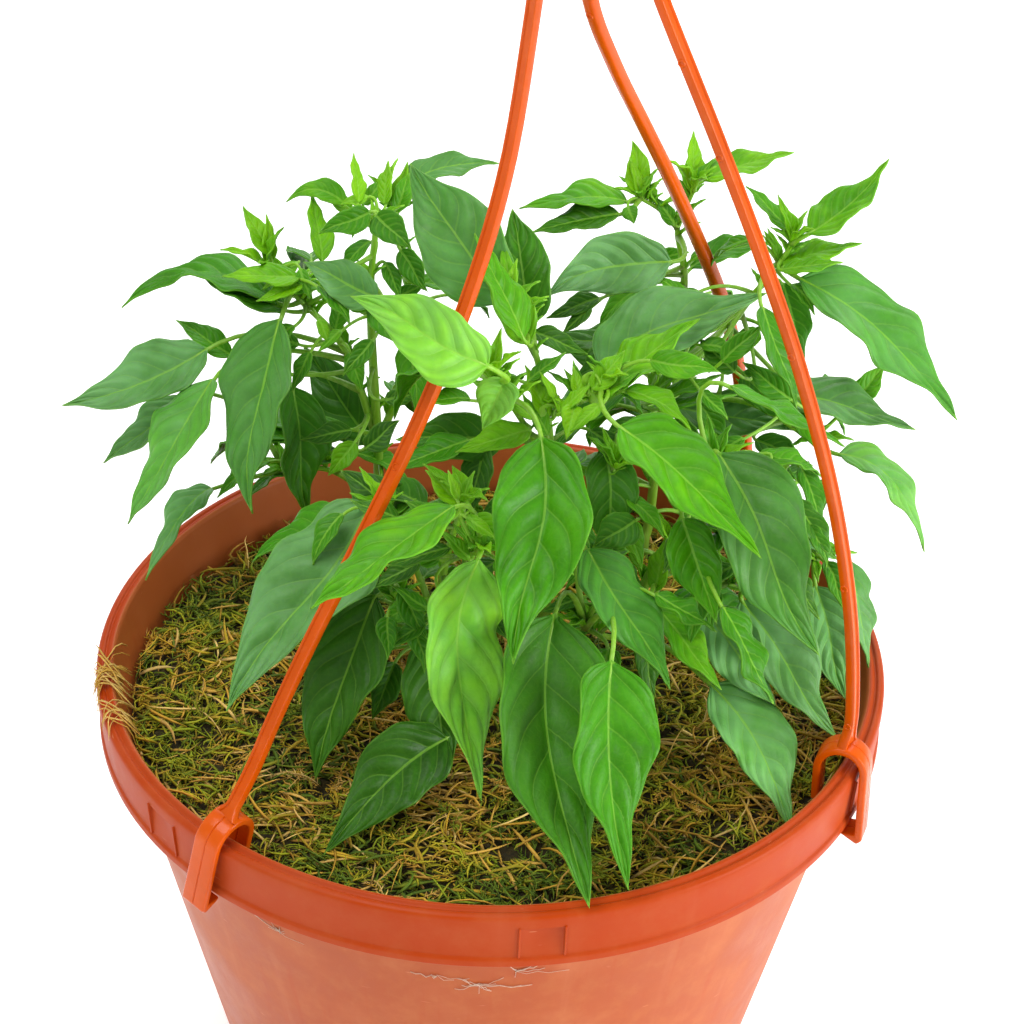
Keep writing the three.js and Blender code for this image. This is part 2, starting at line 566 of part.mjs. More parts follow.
/** The view's own axes: ahead, right and up. */
function viewAxes() {
  const [pitch, yaw, roll] = [degrees(EYE_PITCH), degrees(EYE_YAW), degrees(EYE_ROLL)];
  const ahead = new THREE.Vector3(
    Math.sin(yaw) * Math.cos(pitch), Math.cos(yaw) * Math.cos(pitch), -Math.sin(pitch),
  );
  const level = new THREE.Vector3(Math.cos(yaw), -Math.sin(yaw), 0);
  const upright = new THREE.Vector3().crossVectors(level, ahead);
  const right = level.clone().multiplyScalar(Math.cos(roll)).addScaledVector(upright, Math.sin(roll));
  const up = upright.clone().multiplyScalar(Math.cos(roll)).addScaledVector(level, -Math.sin(roll));
  return { ahead, right, up };
}

const VIEW = viewAxes();

/** Direction of a sight line, one long when measured straight ahead. */
function sight([right, down]) {
  return VIEW.ahead.clone()
    .addScaledVector(VIEW.right, (right - VIEW_CENTRE) / FOCAL)
    .addScaledVector(VIEW.up, -(down - VIEW_CENTRE) / FOCAL);
}

/** The point seen at a place, at a distance measured straight ahead. */
const seenAt = (place, distance) => EYE.clone().addScaledVector(sight(place), distance);

/** Distance, measured straight ahead, of what is seen at a place with the given Y. */
const distanceTo = (place, depth) => (depth - EYE.y) / sight(place).y;

/** Part of a vector that is square to a unit direction, made one long. */
const squareTo = (vector, direction) => (
  vector.clone().addScaledVector(direction, -vector.dot(direction)).normalize()
);

const mix = (a, b, t) => a.clone().lerp(b, t);

/** A blade seen in the view: where it starts and ends, its width, middle line and upper side. */
function seenBlade(row) {
  const { base, tip, across, depth, lean = 0, arch = 0.1, fold = 14, wave = 0.02, via, twist = 0 } = row;
  const near = distanceTo(base, depth);
  const start = seenAt(base, near);
  const flat = seenAt(tip, near).distanceTo(start);
  const far = near - flat * Math.tan(degrees(lean));
  const end = seenAt(tip, far);
  const length = end.distanceTo(start);
  const axis = end.clone().sub(start).divideScalar(length);
  const middle = mix(start, end, 0.5);
  const facing = squareTo(EYE.clone().sub(middle).normalize(), axis);
  const side = new THREE.Vector3().crossVectors(axis, facing);
  const seenWidth = (across * near) / FOCAL;
  const width = Math.max(length * BLADE_BREADTH, seenWidth);
  const roll = Math.acos(Math.min(1, seenWidth / width));
  const turnedBy = (angle) => (
    facing.clone().multiplyScalar(Math.cos(angle)).addScaledVector(side, Math.sin(angle))
  );
  const upper = turnedBy(roll).z >= turnedBy(-roll).z ? turnedBy(roll) : turnedBy(-roll);
  const crest = via ? seenAt(via, (near + far) / 2) : middle.clone().addScaledVector(facing, arch * length);
  const bend = crest.multiplyScalar(2).sub(middle);
  return { start, bend, end, length, width, upper, fold: degrees(fold) * Math.cos(roll),
    wave: wave * length, twist: degrees(twist) };
}

/** A repeatable row of numbers from 0 to 1. */
function numbersFrom(seed) {
  let state = seed;
  return () => {
    state = (state + 0x6d2b79f5) | 0;
    let mixed = Math.imul(state ^ (state >>> 15), state | 1);
    mixed ^= mixed + Math.imul(mixed ^ (mixed >>> 7), mixed | 61);
    return ((mixed ^ (mixed >>> 14)) >>> 0) / 4294967296;
  };
}

/** A unit direction at a bearing round the Z axis and a rise above level, in degrees. */
function heading(bearing, rise) {
  const [turn, lift] = [degrees(bearing), degrees(rise)];
  return new THREE.Vector3(
    Math.cos(turn) * Math.cos(lift), Math.sin(turn) * Math.cos(lift), Math.sin(lift),
  );
}

/** Blades of the leaves that fill a plant's inner and far side, set by rule along its stems. */
function innerBlades({ inner }, lines) {
  const next = numbersFrom(inner.seed);
  const between = ([low, high], share) => low + (high - low) * share;
  return Array.from({ length: inner.count }, (_, k) => {
    const [height, swing, reach, size, droop] = [next(), next(), next(), next(), next()];
    const stem = lines[inner.from[k % inner.from.length]].line;
    const node = stem.getPoint(between(inner.share, height));
    const bearing = between(inner.bearing, (k * GOLDEN_STEP + 0.15 * swing) % 1);
    const start = node.addScaledVector(heading(bearing, PETIOLE_RISE), 10 + 10 * reach);
    const length = between(inner.length, size);
    const out = heading(bearing + 24 * (height - 0.5), -(18 + 34 * droop));
    const end = start.clone().addScaledVector(out, length);
    const upper = squareTo(new THREE.Vector3(0, 0, 1), out);
    const bend = mix(start, end, 0.5).addScaledVector(upper, 2 * INNER_ARCH * length);
    return { start, bend, end, length, width: BLADE_BREADTH * length, upper, fold: degrees(12),
      wave: 0.02 * length, twist: 0 };
  });
}

/** Half width of a blade's outline at t, as a share of its widest. */
function outlineAt(t) {
  const peak = OUTLINE_RISE / (OUTLINE_RISE + OUTLINE_FALL);
  const shape = (s) => s ** OUTLINE_RISE * (1 - s) ** OUTLINE_FALL;
  return shape(t) / shape(peak);
}

/** Point on a blade's middle line, from 0 at its base to 1 at its tip. */
function ribAt({ start, bend, end }, t) {
  return mix(mix(start, bend, t), mix(bend, end, t), t);
}

/** The blade's own directions at t: along it, to its side and out of its upper side. */
function bladeAxes(blade, t) {
  const along = mix(blade.bend.clone().sub(blade.start), blade.end.clone().sub(blade.bend), t);
  along.normalize();
  const level = new THREE.Vector3().crossVectors(along, blade.upper).normalize();
  const out = new THREE.Vector3().crossVectors(level, along);
  const turn = blade.twist * (t - 0.3);
  return {
    along,
    side: level.clone().multiplyScalar(Math.cos(turn)).addScaledVector(out, Math.sin(turn)),
    out: out.clone().multiplyScalar(Math.cos(turn)).addScaledVector(level, -Math.sin(turn)),
  };
}

/** Point on a blade's mid surface: t along it, and e from -1 at one edge to 1 at the other. */
function bladeAt(blade, t, e) {
  const { side, out } = bladeAxes(blade, t);
  const half = (blade.width / 2) * outlineAt(t);
  const lag = e > 0 ? WAVE_LAG : 0;
  const ripple = blade.wave * e * e * Math.sin(2 * Math.PI * (WAVES * t + lag)) * 4 * t * (1 - t);
  return ribAt(blade, t)
    .addScaledVector(side, e * half * Math.cos(blade.fold))
    .addScaledVector(out, Math.abs(e) * half * Math.sin(blade.fold) + ripple);
}

/** Thin solid of a blade. Both faces are split into the same triangles. */
function bladeSolid(blade) {
  const stations = STATIONS.find(({ above }) => blade.length > above).at;
  const places = [[0, 0], ...stations.flatMap((t) => [[t, -1], [t, 0], [t, 1]]), [1, 0]];
  const tip = places.length - 1;
  const upper = [[0, 2, 1], [0, 3, 2]];
  const rim = [0];
  for (let k = 0; k + 1 < stations.length; k++) {
    const [left, rib, right] = [3 * k + 1, 3 * k + 2, 3 * k + 3];
    upper.push([left, rib, rib + 3], [left, rib + 3, left + 3]);
    upper.push([rib, right, right + 3], [rib, right + 3, rib + 3]);
  }
  upper.push([tip - 3, tip - 2, tip], [tip - 2, tip - 1, tip]);
  for (let k = 0; k < stations.length; k++) rim.push(3 * k + 1);
  rim.push(tip);
  for (let k = stations.length - 1; k >= 0; k--) rim.push(3 * k + 3);
  const faces = [];
  for (const lift of [BLADE_THICK / 2, -BLADE_THICK / 2]) {
    for (const [t, e] of places) {
      faces.push(bladeAt(blade, t, e).addScaledVector(bladeAxes(blade, t).out, lift));
    }
  }
  const lower = places.length;
  const triangles = upper.flatMap(([a, b, c]) => [a, b, c, a + lower, c + lower, b + lower]);
  rim.forEach((a, k) => {
    const b = rim[(k + 1) % rim.length];
    triangles.push(a, b, b + lower, a, b + lower, a + lower);
  });
  return toSolid(faceted(faces, triangles));
}

/** A stem's middle line. A rooted stem starts in its hole in the soil. */
function stemLine({ rooted, through }, [x, y]) {
  const points = through.map(([right, down, depth]) => (
    seenAt([right, down], distanceTo([right, down], depth))
  ));
  if (rooted) {
    const ground = soilTop(Math.hypot(x, y));
    points.unshift(new THREE.Vector3(x, y, ground - STEM_HOLE_DEPTH + GAP),
      new THREE.Vector3(x, y, ground + 2 * MULCH_DEPTH));
  }
  return new THREE.CatmullRomCurve3(points, false, "catmullrom", 0.5);
}

/** A round, tapering rod along a curve. */
function rod(curve, steps, [thickStart, thickEnd], sides) {
  const points = curve.getPoints(steps);
  const chord = points[steps].clone().sub(points[0]);
  const upright = Math.abs(chord.z) > 0.8 * chord.length();
  const across = new THREE.Vector3().crossVectors(chord, upright
    ? new THREE.Vector3(0, 1, 0) : new THREE.Vector3(0, 0, 1));
  return swept(points, across, (k) => {
    const thick = thickStart + ((thickEnd - thickStart) * k) / steps;
    return round(thick / 2, sides);
  });
}

/** The place on the stems where a leaf's petiole starts: the nearest one, rather below than above. */
function petioleStart(lines, start) {
  const places = lines.flatMap(({ line, from }) => (
    Array.from({ length: STEM_POINTS + 1 }, (_, k) => line.getPoint(from + ((1 - from) * k) / STEM_POINTS))
  ));
  const cost = (place) => place.distanceTo(start) + 0.8 * Math.max(0, place.z - start.z);
  return places.reduce((best, place) => (cost(place) < cost(best) ? place : best));
}

function petioleSolid(blade, lines) {
  const start = petioleStart(lines, blade.start);
  const { along, out } = bladeAxes(blade, 0);
  const reach = start.distanceTo(blade.start);
  const before = blade.start.clone().addScaledVector(along, -0.45 * reach);
  const root = ribAt(blade, 0.08).addScaledVector(out, -0.35);
  const curve = new THREE.QuadraticBezierCurve3(start, before, root);
  const large = blade.length > LARGE_BLADE;
  return rod(curve, large ? 2 : 1, PETIOLE_THICK.map((d) => (large ? d : 0.8 * d)), 3);
}

/** The holes in the soil and the mulch, one round the foot of each plant's rooted stem. */
function stemHoles() {
  const depth = 2 * STEM_HOLE_DEPTH;
  return wasm.Manifold.union(PLANTS.map(({ foot: [x, y], stems }) => {
    const { thick: [thickness] } = stems.find(({ rooted }) => rooted);
    const bottom = soilTop(Math.hypot(x, y)) - STEM_HOLE_DEPTH;
    return wasm.Manifold.cylinder(depth, thickness / 2 + 2 * GAP, thickness / 2 + 2 * GAP, 8)
      .translate([x, y, bottom]);
  }));
}

/** One plant: its stems, petioles and blades grown together. */
function makePlant(plant) {
  const { foot, stems } = plant;
  const lines = stems.map((stem) => ({ line: stemLine(stem, foot), from: stem.rooted ? 0.35 : 0.1 }));
  const solids = stems.map((stem, i) => (
    rod(lines[i].line, stem.through.length + (stem.rooted ? 4 : 1), stem.thick, stem.rooted ? 5 : 4)
  ));
  const blades = [...plant.leaves.map(seenBlade), ...innerBlades(plant, lines)];
  for (const blade of blades) solids.push(bladeSolid(blade), petioleSolid(blade, lines));
  const whole = wasm.Manifold.union(solids).simplify(SLIVER);
  return whole.decompose().reduce((a, b) => (a.volume() >= b.volume() ? a : b));
}

// ---------- assembly ----------

const group = new THREE.Group();
group.name = "potted_chilli_pepper";

function place(name, solid, colour, roughness) {
  const material = new THREE.MeshStandardMaterial({ color: colour, roughness, metalness: 0 });
  const mesh = new THREE.Mesh(toGeometry(solid), material);
  mesh.name = name;
  group.add(mesh);
}

place("pot", makePot(), 0xcd5a32, 0.4);
place("hanger", makeHanger(), 0xee662c, 0.35);
place("potting_soil", makeSoil().subtract(stemHoles()), 0x2b2018, 0.95);
place("moss_mulch", makeMulch().subtract(stemHoles()), 0x8a7328, 0.95);
for (const plant of PLANTS) place(plant.name, makePlant(plant), 0x3f8f2a, 0.5);

export default group;
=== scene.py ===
"""Chilli pepper plants in a hanging basket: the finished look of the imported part.

Lengths are in millimetres in the part's own frame, and become metres when a mesh is made.
"""

import logging
import random
from collections.abc import Callable, Iterator, Sequence
from dataclasses import dataclass, field
from enum import Enum
from math import acos, cos, exp, hypot, pi, radians, sin, sqrt, tan

import bpy
from mathutils import Matrix, Vector, noise


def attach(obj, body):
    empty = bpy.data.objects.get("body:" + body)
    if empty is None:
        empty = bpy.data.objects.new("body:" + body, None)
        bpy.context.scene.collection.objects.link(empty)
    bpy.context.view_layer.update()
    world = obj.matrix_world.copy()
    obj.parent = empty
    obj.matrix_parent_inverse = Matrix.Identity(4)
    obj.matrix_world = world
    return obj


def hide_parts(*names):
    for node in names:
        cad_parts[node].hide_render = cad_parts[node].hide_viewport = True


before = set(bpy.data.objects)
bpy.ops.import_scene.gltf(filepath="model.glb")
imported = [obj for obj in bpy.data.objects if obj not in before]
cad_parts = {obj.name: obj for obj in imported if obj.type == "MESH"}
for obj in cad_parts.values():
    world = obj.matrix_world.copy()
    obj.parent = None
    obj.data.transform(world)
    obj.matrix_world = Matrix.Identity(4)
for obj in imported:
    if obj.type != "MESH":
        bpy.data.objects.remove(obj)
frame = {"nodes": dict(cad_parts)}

Pair = tuple[float, float]
Triple = tuple[float, float, float]
Face = tuple[int, ...]
Stops = tuple[tuple[float, Triple], ...]
Socket = bpy.types.NodeSocket
Item = bpy.types.Object
Material = bpy.types.Material
Line = Sequence[Vector]
Axes = tuple[Vector, Vector, Vector]

MM = 0.001
GAP = 0.3  # clearance between neighbouring pieces
BODY = "root"
LOG = logging.getLogger("basket")
GOLDEN = 0.6180339887  # share of a full turn from one leaf or clump to the next
UP = Vector((0, 0, 1))
PLASTIC_GLOW = (1.0, 0.4, 0.2)  # how far red, green and blue light spreads in the plastic


class Slot(Enum):
    """The record's finishes that new pieces take; the packed soil keeps its own."""

    POT = "pot_plastic"
    HANGER = "hanger_plastic"
    MULCH = "mulch"
    LEAF = "leaf"


# ---------- vectors and shares ----------


def unit(vector: Vector) -> Vector:
    """The vector made one long."""
    return vector.normalized()


def square_to(vector: Vector, direction: Vector) -> Vector:
    """Part of a vector that is square to a unit direction, made one long."""
    return unit(vector - direction * vector.dot(direction))


def heading(bearing: float, rise: float) -> Vector:
    """A unit direction from a bearing round the Z axis and a rise above level, in degrees."""
    turn, lift = radians(bearing), radians(rise)
    return Vector((cos(turn) * cos(lift), sin(turn) * cos(lift), sin(lift)))


def polar(radius: float, degrees: float, height: float = 0.0) -> Vector:
    """A point at a radius, an angle in degrees and a height."""
    turn = radians(degrees)
    return Vector((radius * cos(turn), radius * sin(turn), height))


def metres(*lengths: float) -> tuple[float, ...]:
    """Lengths in millimetres, as metres."""
    return tuple(length * MM for length in lengths)


def between(span: Pair, share: float) -> float:
    """The value at a share of the way through a span."""
    return span[0] + (span[1] - span[0]) * share


def smooth(low: float, high: float, value: float) -> float:
    """A smooth step from 0 at low to 1 at high."""
    share = min(1.0, max(0.0, (value - low) / (high - low)))
    return share * share * (3 - 2 * share)


def arc(middle: Vector, radius: float, span: Pair, steps: int) -> list[Vector]:
    """Points of an upright arc, from one angle in degrees to another."""
    return [middle + heading(0, between(span, k / steps)) * radius for k in range(steps + 1)]


def numbers_from(seed: int) -> Iterator[float]:
    """The repeatable row of numbers from 0 to 1 that also sets the solids' inner leaves.

    Args:
        seed: where the row starts.
    Returns:
        An endless iterator of numbers.
    """
    whole = 0xFFFFFFFF
    state = seed
    while True:
        state = (state + 0x6D2B79F5) & whole
        mixed = ((state ^ (state >> 15)) * (state | 1)) & whole
        mixed ^= (mixed + ((mixed ^ (mixed >> 7)) * (mixed | 61) & whole)) & whole
        yield ((mixed ^ (mixed >> 14)) & whole) / (whole + 1)


def spline(points: Line, share: float) -> Vector:
    """Point on the smooth line through a row of points.

    Args:
        points: what the line passes through, evenly spaced in share.
        share: 0 at the first point and 1 at the last.
    Returns:
        The point there.
    """
    last = len(points) - 1
    place = share * last
    k = min(int(place), last - 1)
    w = place - k
    a, b = points[k], points[k + 1]
    before = points[k - 1] if k > 0 else 2 * points[0] - points[1]
    after = points[k + 2] if k + 2 <= last else 2 * points[last] - points[last - 1]
    leave, arrive = (b - before) / 2, (after - a) / 2
    return ((2 * a - 2 * b + leave + arrive) * w**3
            + (-3 * a + 3 * b - 2 * leave - arrive) * w * w + leave * w + a)


# ---------- mesh making ----------


def tube_faces(rows: int, sides: int, start: int = 0) -> list[Face]:
    """The faces of a closed tube whose rings of corners follow one another.

    Args:
        rows: how many rings it has.
        sides: corners in a ring.
        start: number of the first corner.
    Returns:
        The four-cornered faces and the two ends.
    """
    faces: list[Face] = []
    for k in range(rows - 1):
        low, high = start + k * sides, start + (k + 1) * sides
        for i in range(sides):
            j = (i + 1) % sides
            faces.append((low + i, low + j, high + j, high + i))
    last = start + (rows - 1) * sides
    return faces + [tuple(reversed(range(start, start + sides))), tuple(range(last, last + sides))]


def select_only(*objects: Item) -> None:
    """Selects these objects and nothing else; the last one is active."""
    for other in bpy.context.selected_objects:
        other.select_set(False)
    for item in objects:
        item.select_set(True)
    bpy.context.view_layer.objects.active = objects[-1]


def taken(name: str) -> Item:
    """The primitive that was just added, under its own name."""
    item = bpy.context.active_object
    item.name = item.data.name = name
    return item


def mesh_object(name: str, points: Line, faces: Sequence[Face] = (),
                edges: Sequence[tuple[int, int]] = ()) -> Item:
    """A mesh object from corner points.

    Args:
        name: the object's name.
        points: corners in millimetres.
        faces: corner numbers of each face.
        edges: corner numbers of each loose edge.
    Returns:
        The object, at the origin.
    """
    mesh = bpy.data.meshes.new(name)
    mesh.from_pydata([tuple(point * MM) for point in points], list(edges), list(faces))
    mesh.update()
    item = bpy.data.objects.new(name, mesh)
    bpy.context.collection.objects.link(item)
    return item


def edit(item: Item, *steps: Callable[[], object]) -> None:
    """Runs edit-mode steps on an object with everything on it selected.

    Args:
        item: the object.
        steps: operators to run, in order.
    """
    select_only(item)
    bpy.ops.object.mode_set(mode="EDIT")
    bpy.ops.mesh.select_all(action="SELECT")
    for step in steps:
        step()
    bpy.ops.object.mode_set(mode="OBJECT")


def apply_modifier(item: Item, kind: str, **settings: object) -> None:
    """Adds a modifier to an object and applies it.

    Args:
        item: the object.
        kind: the modifier's type.
        settings: its settings, by name.
    """
    select_only(item)
    modifier = item.modifiers.new(kind.title(), kind)
    for key, value in settings.items():
        setattr(modifier, key, value)
    bpy.ops.object.modifier_apply(modifier=modifier.name)


def break_edges(item: Item, width: float, segments: int) -> None:
    """Rounds the sharp edges of an object; the width is in millimetres."""
    apply_modifier(item, "BEVEL", width=width * MM, segments=segments, limit_method="ANGLE",
                   angle_limit=radians(40))


def join(name: str, items: Sequence[Item]) -> Item:
    """Joins objects into one with a name of its own."""
    select_only(*items)
    bpy.ops.object.join()
    return taken(name)


def settle(item: Item) -> None:
    """Moves an object's place, turn and size into its mesh."""
    select_only(item)
    bpy.ops.object.transform_apply(location=True, rotation=True, scale=True)


def shade(item: Item, degrees: float | None = None) -> None:
    """Smooth shading, all over or below an angle between faces.

    Args:
        item: the object.
        degrees: the angle; left out, all of it is smooth.
    """
    select_only(item)
    if degrees is None:
        bpy.ops.object.shade_smooth()
    else:
        bpy.ops.object.shade_smooth_by_angle(angle=radians(degrees))


def hand_over(item: Item, slot: Slot, materials: Sequence[Material], *replaced: str) -> None:
    """Dresses a piece and ties it to the frame.

    Args:
        item: the piece.
        slot: the record's finish for it; not used.
        materials: its materials, in slot order.
        replaced: CAD nodes that it stands for.
    """
    item.data.materials.clear()
    for material in materials:
        item.data.materials.append(material)
    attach(item, BODY)
    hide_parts(*replaced)
    LOG.info("%s: %d faces", item.name, len(item.data.polygons))


@dataclass
class Draft:
    """Corner points, faces and corner marks of a mesh that is built up from many tubes."""

    points: list[Vector] = field(default_factory=list)
    faces: list[Face] = field(default_factory=list)
    marks: list[Triple] = field(default_factory=list)

    def tube(self, line: Line, radii: Sequence[float], sides: int,
             marks: Sequence[Triple], flat: float = 1.0, ridges: float = 0.0,
             across: Vector | None = None) -> None:
        """Adds a closed tube along a line.

        Args:
            line: its middle line.
            radii: its radius at each point of the line.
            sides: corners round it.
            marks: what its corners carry at each point of the line.
            flat: its thickness as a share of its width.
            ridges: height of five lengthwise ridges, as a share of the radius.
            across: the direction that its width keeps to.
        """
        start = len(self.points)
        last = len(line) - 1
        side = across
        for k, point in enumerate(line):
            along = unit(line[min(k + 1, last)] - line[max(k - 1, 0)])
            if side is None:
                side = along.orthogonal()
            side = square_to(side, along)
            up = along.cross(side)
            for i in range(sides):
                turn = 2 * pi * i / sides
                radius = radii[k] * (1 + ridges * cos(5 * turn))
                self.points.append(point + side * (radius * cos(turn))
                                   + up * (radius * flat * sin(turn)))
                self.marks.append(marks[k])
        self.faces += tube_faces(len(line), sides, start)

    def solid(self, points: Line, faces: Sequence[Face],
              mark: Triple) -> None:
        """Adds a small closed solid, all with the same mark.

        Args:
            points: its corners.
            faces: corner numbers of its faces.
            mark: what each corner carries.
        """
        first = len(self.points)
        self.points += points
        self.faces += [tuple(first + corner for corner in face) for face in faces]
        self.marks += [mark] * len(points)

    def made(self, name: str, mark: str) -> Item:
        """The object, with its marks as a point attribute.

        Args:
            name: name of the object.
            mark: name of the attribute.
        Returns:
            The object.
        """
        item = mesh_object(name, self.points, self.faces)
        mark_points(item, mark, self.marks)
        shade(item)
        return item


def mark_points(item: Item, name: str, values: Sequence[Triple]) -> None:
    """Stores three numbers at each point of a mesh, for its material to read."""
    layer = item.data.attributes.new(name, "FLOAT_VECTOR", "POINT")
    layer.data.foreach_set("vector", [number for value in values for number in value])


# ---------- finishes ----------


def linear(colour: Triple) -> tuple[float, ...]:
    """A colour given as 0 to 255 on the screen, as Blender's own linear values."""
    shares = (channel / 255 for channel in colour)
    return (*(s / 12.92 if s <= 0.04045 else ((s + 0.055) / 1.055) ** 2.4 for s in shares), 1.0)


class Recipe:
    """A procedural material and short ways to add the nodes that it is made of."""

    def __init__(self, name: str) -> None:
        """Starts a material with one shader."""
        self.material = bpy.data.materials.new(name)
        self.material.use_nodes = True
        self.tree = self.material.node_tree
        self.shader = self.tree.nodes["Principled BSDF"]

    def node(self, kind: str, inputs: dict[str | int, object] | None = None,
             **settings: object) -> bpy.types.Node:
        """Adds a node.

        Args:
            kind: its type, without the common prefix.
            inputs: a value or a socket for each input, by its name or number.
            settings: its own settings.
        Returns:
            The node.
        """
        made = self.tree.nodes.new("ShaderNode" + kind)
        for key, value in settings.items():
            setattr(made, key, value)
        for key, value in (inputs or {}).items():
            self.feed(made.inputs[key], value)
        return made

    def feed(self, socket: Socket, value: object) -> None:
        """Sets an input to a value, or links it to a socket."""
        if isinstance(value, Socket):
            self.tree.links.new(value, socket)
        else:
            socket.default_value = value

    def maths(self, operation: str, *values: object, clamp: bool = False) -> Socket:
        """The result of a sum on up to three numbers."""
        inputs = dict(enumerate(values))
        return self.node("Math", inputs, operation=operation, use_clamp=clamp).outputs[0]

    def times(self, first: object, second: object) -> Socket:
        """The product of two numbers."""
        return self.maths("MULTIPLY", first, second)

    def plus(self, first: object, *others: object) -> Socket:
        """The sum of two or more numbers."""
        for other in others:
            first = self.maths("ADD", first, other)
        return first

    def minus(self, first: object, second: object) -> Socket:
        """The difference of two numbers."""
        return self.maths("SUBTRACT", first, second)

    def around(self, value: object, size: float) -> Socket:
        """How far a value is above 0.5, times a size."""
        return self.times(self.minus(value, 0.5), size)

    def joined(self, *parts: object) -> Socket:
        """Up to three numbers as one vector."""
        return self.node("CombineXYZ", dict(enumerate(parts))).outputs[0]

    def step(self, value: object, low: float, high: float, to: Pair = (0.0, 1.0)) -> Socket:
        """A smooth step of a value from low to high."""
        inputs = {"Value": value, "From Min": low, "From Max": high, "To Min": to[0],
                  "To Max": to[1]}
        return self.node("MapRange", inputs, interpolation_type="SMOOTHSTEP").outputs["Result"]

    def mixed(self, share: object, first: object, second: object, blend: str = "MIX") -> Socket:
        """Two colours mixed by a share.

        Args:
            share: how much of the second shows.
            first: the colour below.
            second: the colour above.
            blend: how they are mixed.
        Returns:
            The mixed colour.
        """
        made = self.node("Mix", data_type="RGBA", blend_type=blend)
        self.feed(made.inputs["Factor"], share)
        self.feed(made.inputs[6], first)
        self.feed(made.inputs[7], second)
        return made.outputs[2]

    def tint(self, colour: object, over: Triple, share: object, *others: object) -> Socket:
        """A colour with a screen colour laid over it, by the product of the shares."""
        for other in others:
            share = self.times(share, other)
        return self.mixed(share, colour, linear(over))

    def ramp(self, value: object, stops: Stops) -> Socket:
        """A colour from a row of places and screen colours.

        Args:
            value: a place in the row, from 0 to 1.
            stops: the row.
        Returns:
            The colour there.
        """
        made = self.node("ValToRGB", {"Fac": value})
        elements = made.color_ramp.elements
        while len(elements) < len(stops):
            elements.new(1.0)
        for element, (place, colour) in zip(elements, stops):
            element.position = place
            element.color = linear(colour)
        return made.outputs["Color"]

    def place(self, scale: Triple = (1.0, 1.0, 1.0)) -> Socket:
        """The place on the object in millimetres, stretched by a scale."""
        source = self.node("TexCoord").outputs["Object"]
        factors = tuple(factor / MM for factor in scale)
        return self.node("Mapping", {"Vector": source, "Scale": factors}).outputs[0]

    def noise(self, size: float, detail: float = 3.0, vector: Socket | None = None,
              roughness: float = 0.5) -> Socket:
        """Cloudy noise whose blotches have a size in millimetres."""
        inputs = {"Vector": vector or self.place(), "Scale": 1 / size, "Detail": detail,
                  "Roughness": roughness}
        return self.node("TexNoise", inputs).outputs["Fac"]

    def marks(self, name: str) -> tuple[Socket, Socket, Socket]:
        """The three numbers that a mesh carries under a name."""
        source = self.node("Attribute", attribute_name=name, attribute_type="GEOMETRY")
        parts = self.node("SeparateXYZ", {0: source.outputs["Vector"]})
        return tuple(parts.outputs)

    def bump(self, height: Socket, distance: float, strength: float) -> Socket:
        """A bumped normal; the distance is in millimetres."""
        inputs = {"Height": height, "Distance": distance * MM, "Strength": strength}
        return self.node("Bump", inputs).outputs[0]

    def done(self, colour: object, roughness: object, normal: Socket | None = None,
             **flat: object) -> Material:
        """Feeds the shader.

        Args:
            colour: base colour.
            roughness: a number or a socket.
            normal: a bumped normal.
            flat: values that are the same all over, by the input's name with _ for a space.
        Returns:
            The material.
        """
        self.feed(self.shader.inputs["Base Color"], colour)
        self.feed(self.shader.inputs["Roughness"], roughness)
        if normal is not None:
            self.feed(self.shader.inputs["Normal"], normal)
        for key, value in flat.items():
            self.shader.inputs[key.replace("_", " ")].default_value = value
        return self.material


@dataclass(frozen=True)
class MouldedPlastic:
    """Moulded plastic: faint flow clouds, dust, a fine grain and a satin gloss."""

    name: str
    colour: Triple
    dusty: Triple
    roughness: Pair = (0.3, 0.5)
    dust: float = 0.2

    def material(self) -> Material:
        """Makes the material."""
        recipe = Recipe(self.name)
        clouds = recipe.noise(38, 4, roughness=0.6)
        darker = tuple(0.9 * channel for channel in self.colour)
        colour = recipe.tint(linear(self.colour), darker, recipe.step(clouds, 0.3, 0.7))
        dust = recipe.step(recipe.noise(11, 5, roughness=0.7), 0.45, 0.8, (0, self.dust))
        colour = recipe.tint(colour, self.dusty, dust)
        roughness = recipe.step(clouds, 0.25, 0.75, self.roughness)
        normal = recipe.bump(recipe.noise(0.35, 2), 0.05, 0.35)
        return recipe.done(colour, roughness, normal, Subsurface_Weight=0.06,
                           Subsurface_Scale=2 * MM, Subsurface_Radius=PLASTIC_GLOW,
                           Specular_IOR_Level=0.22)


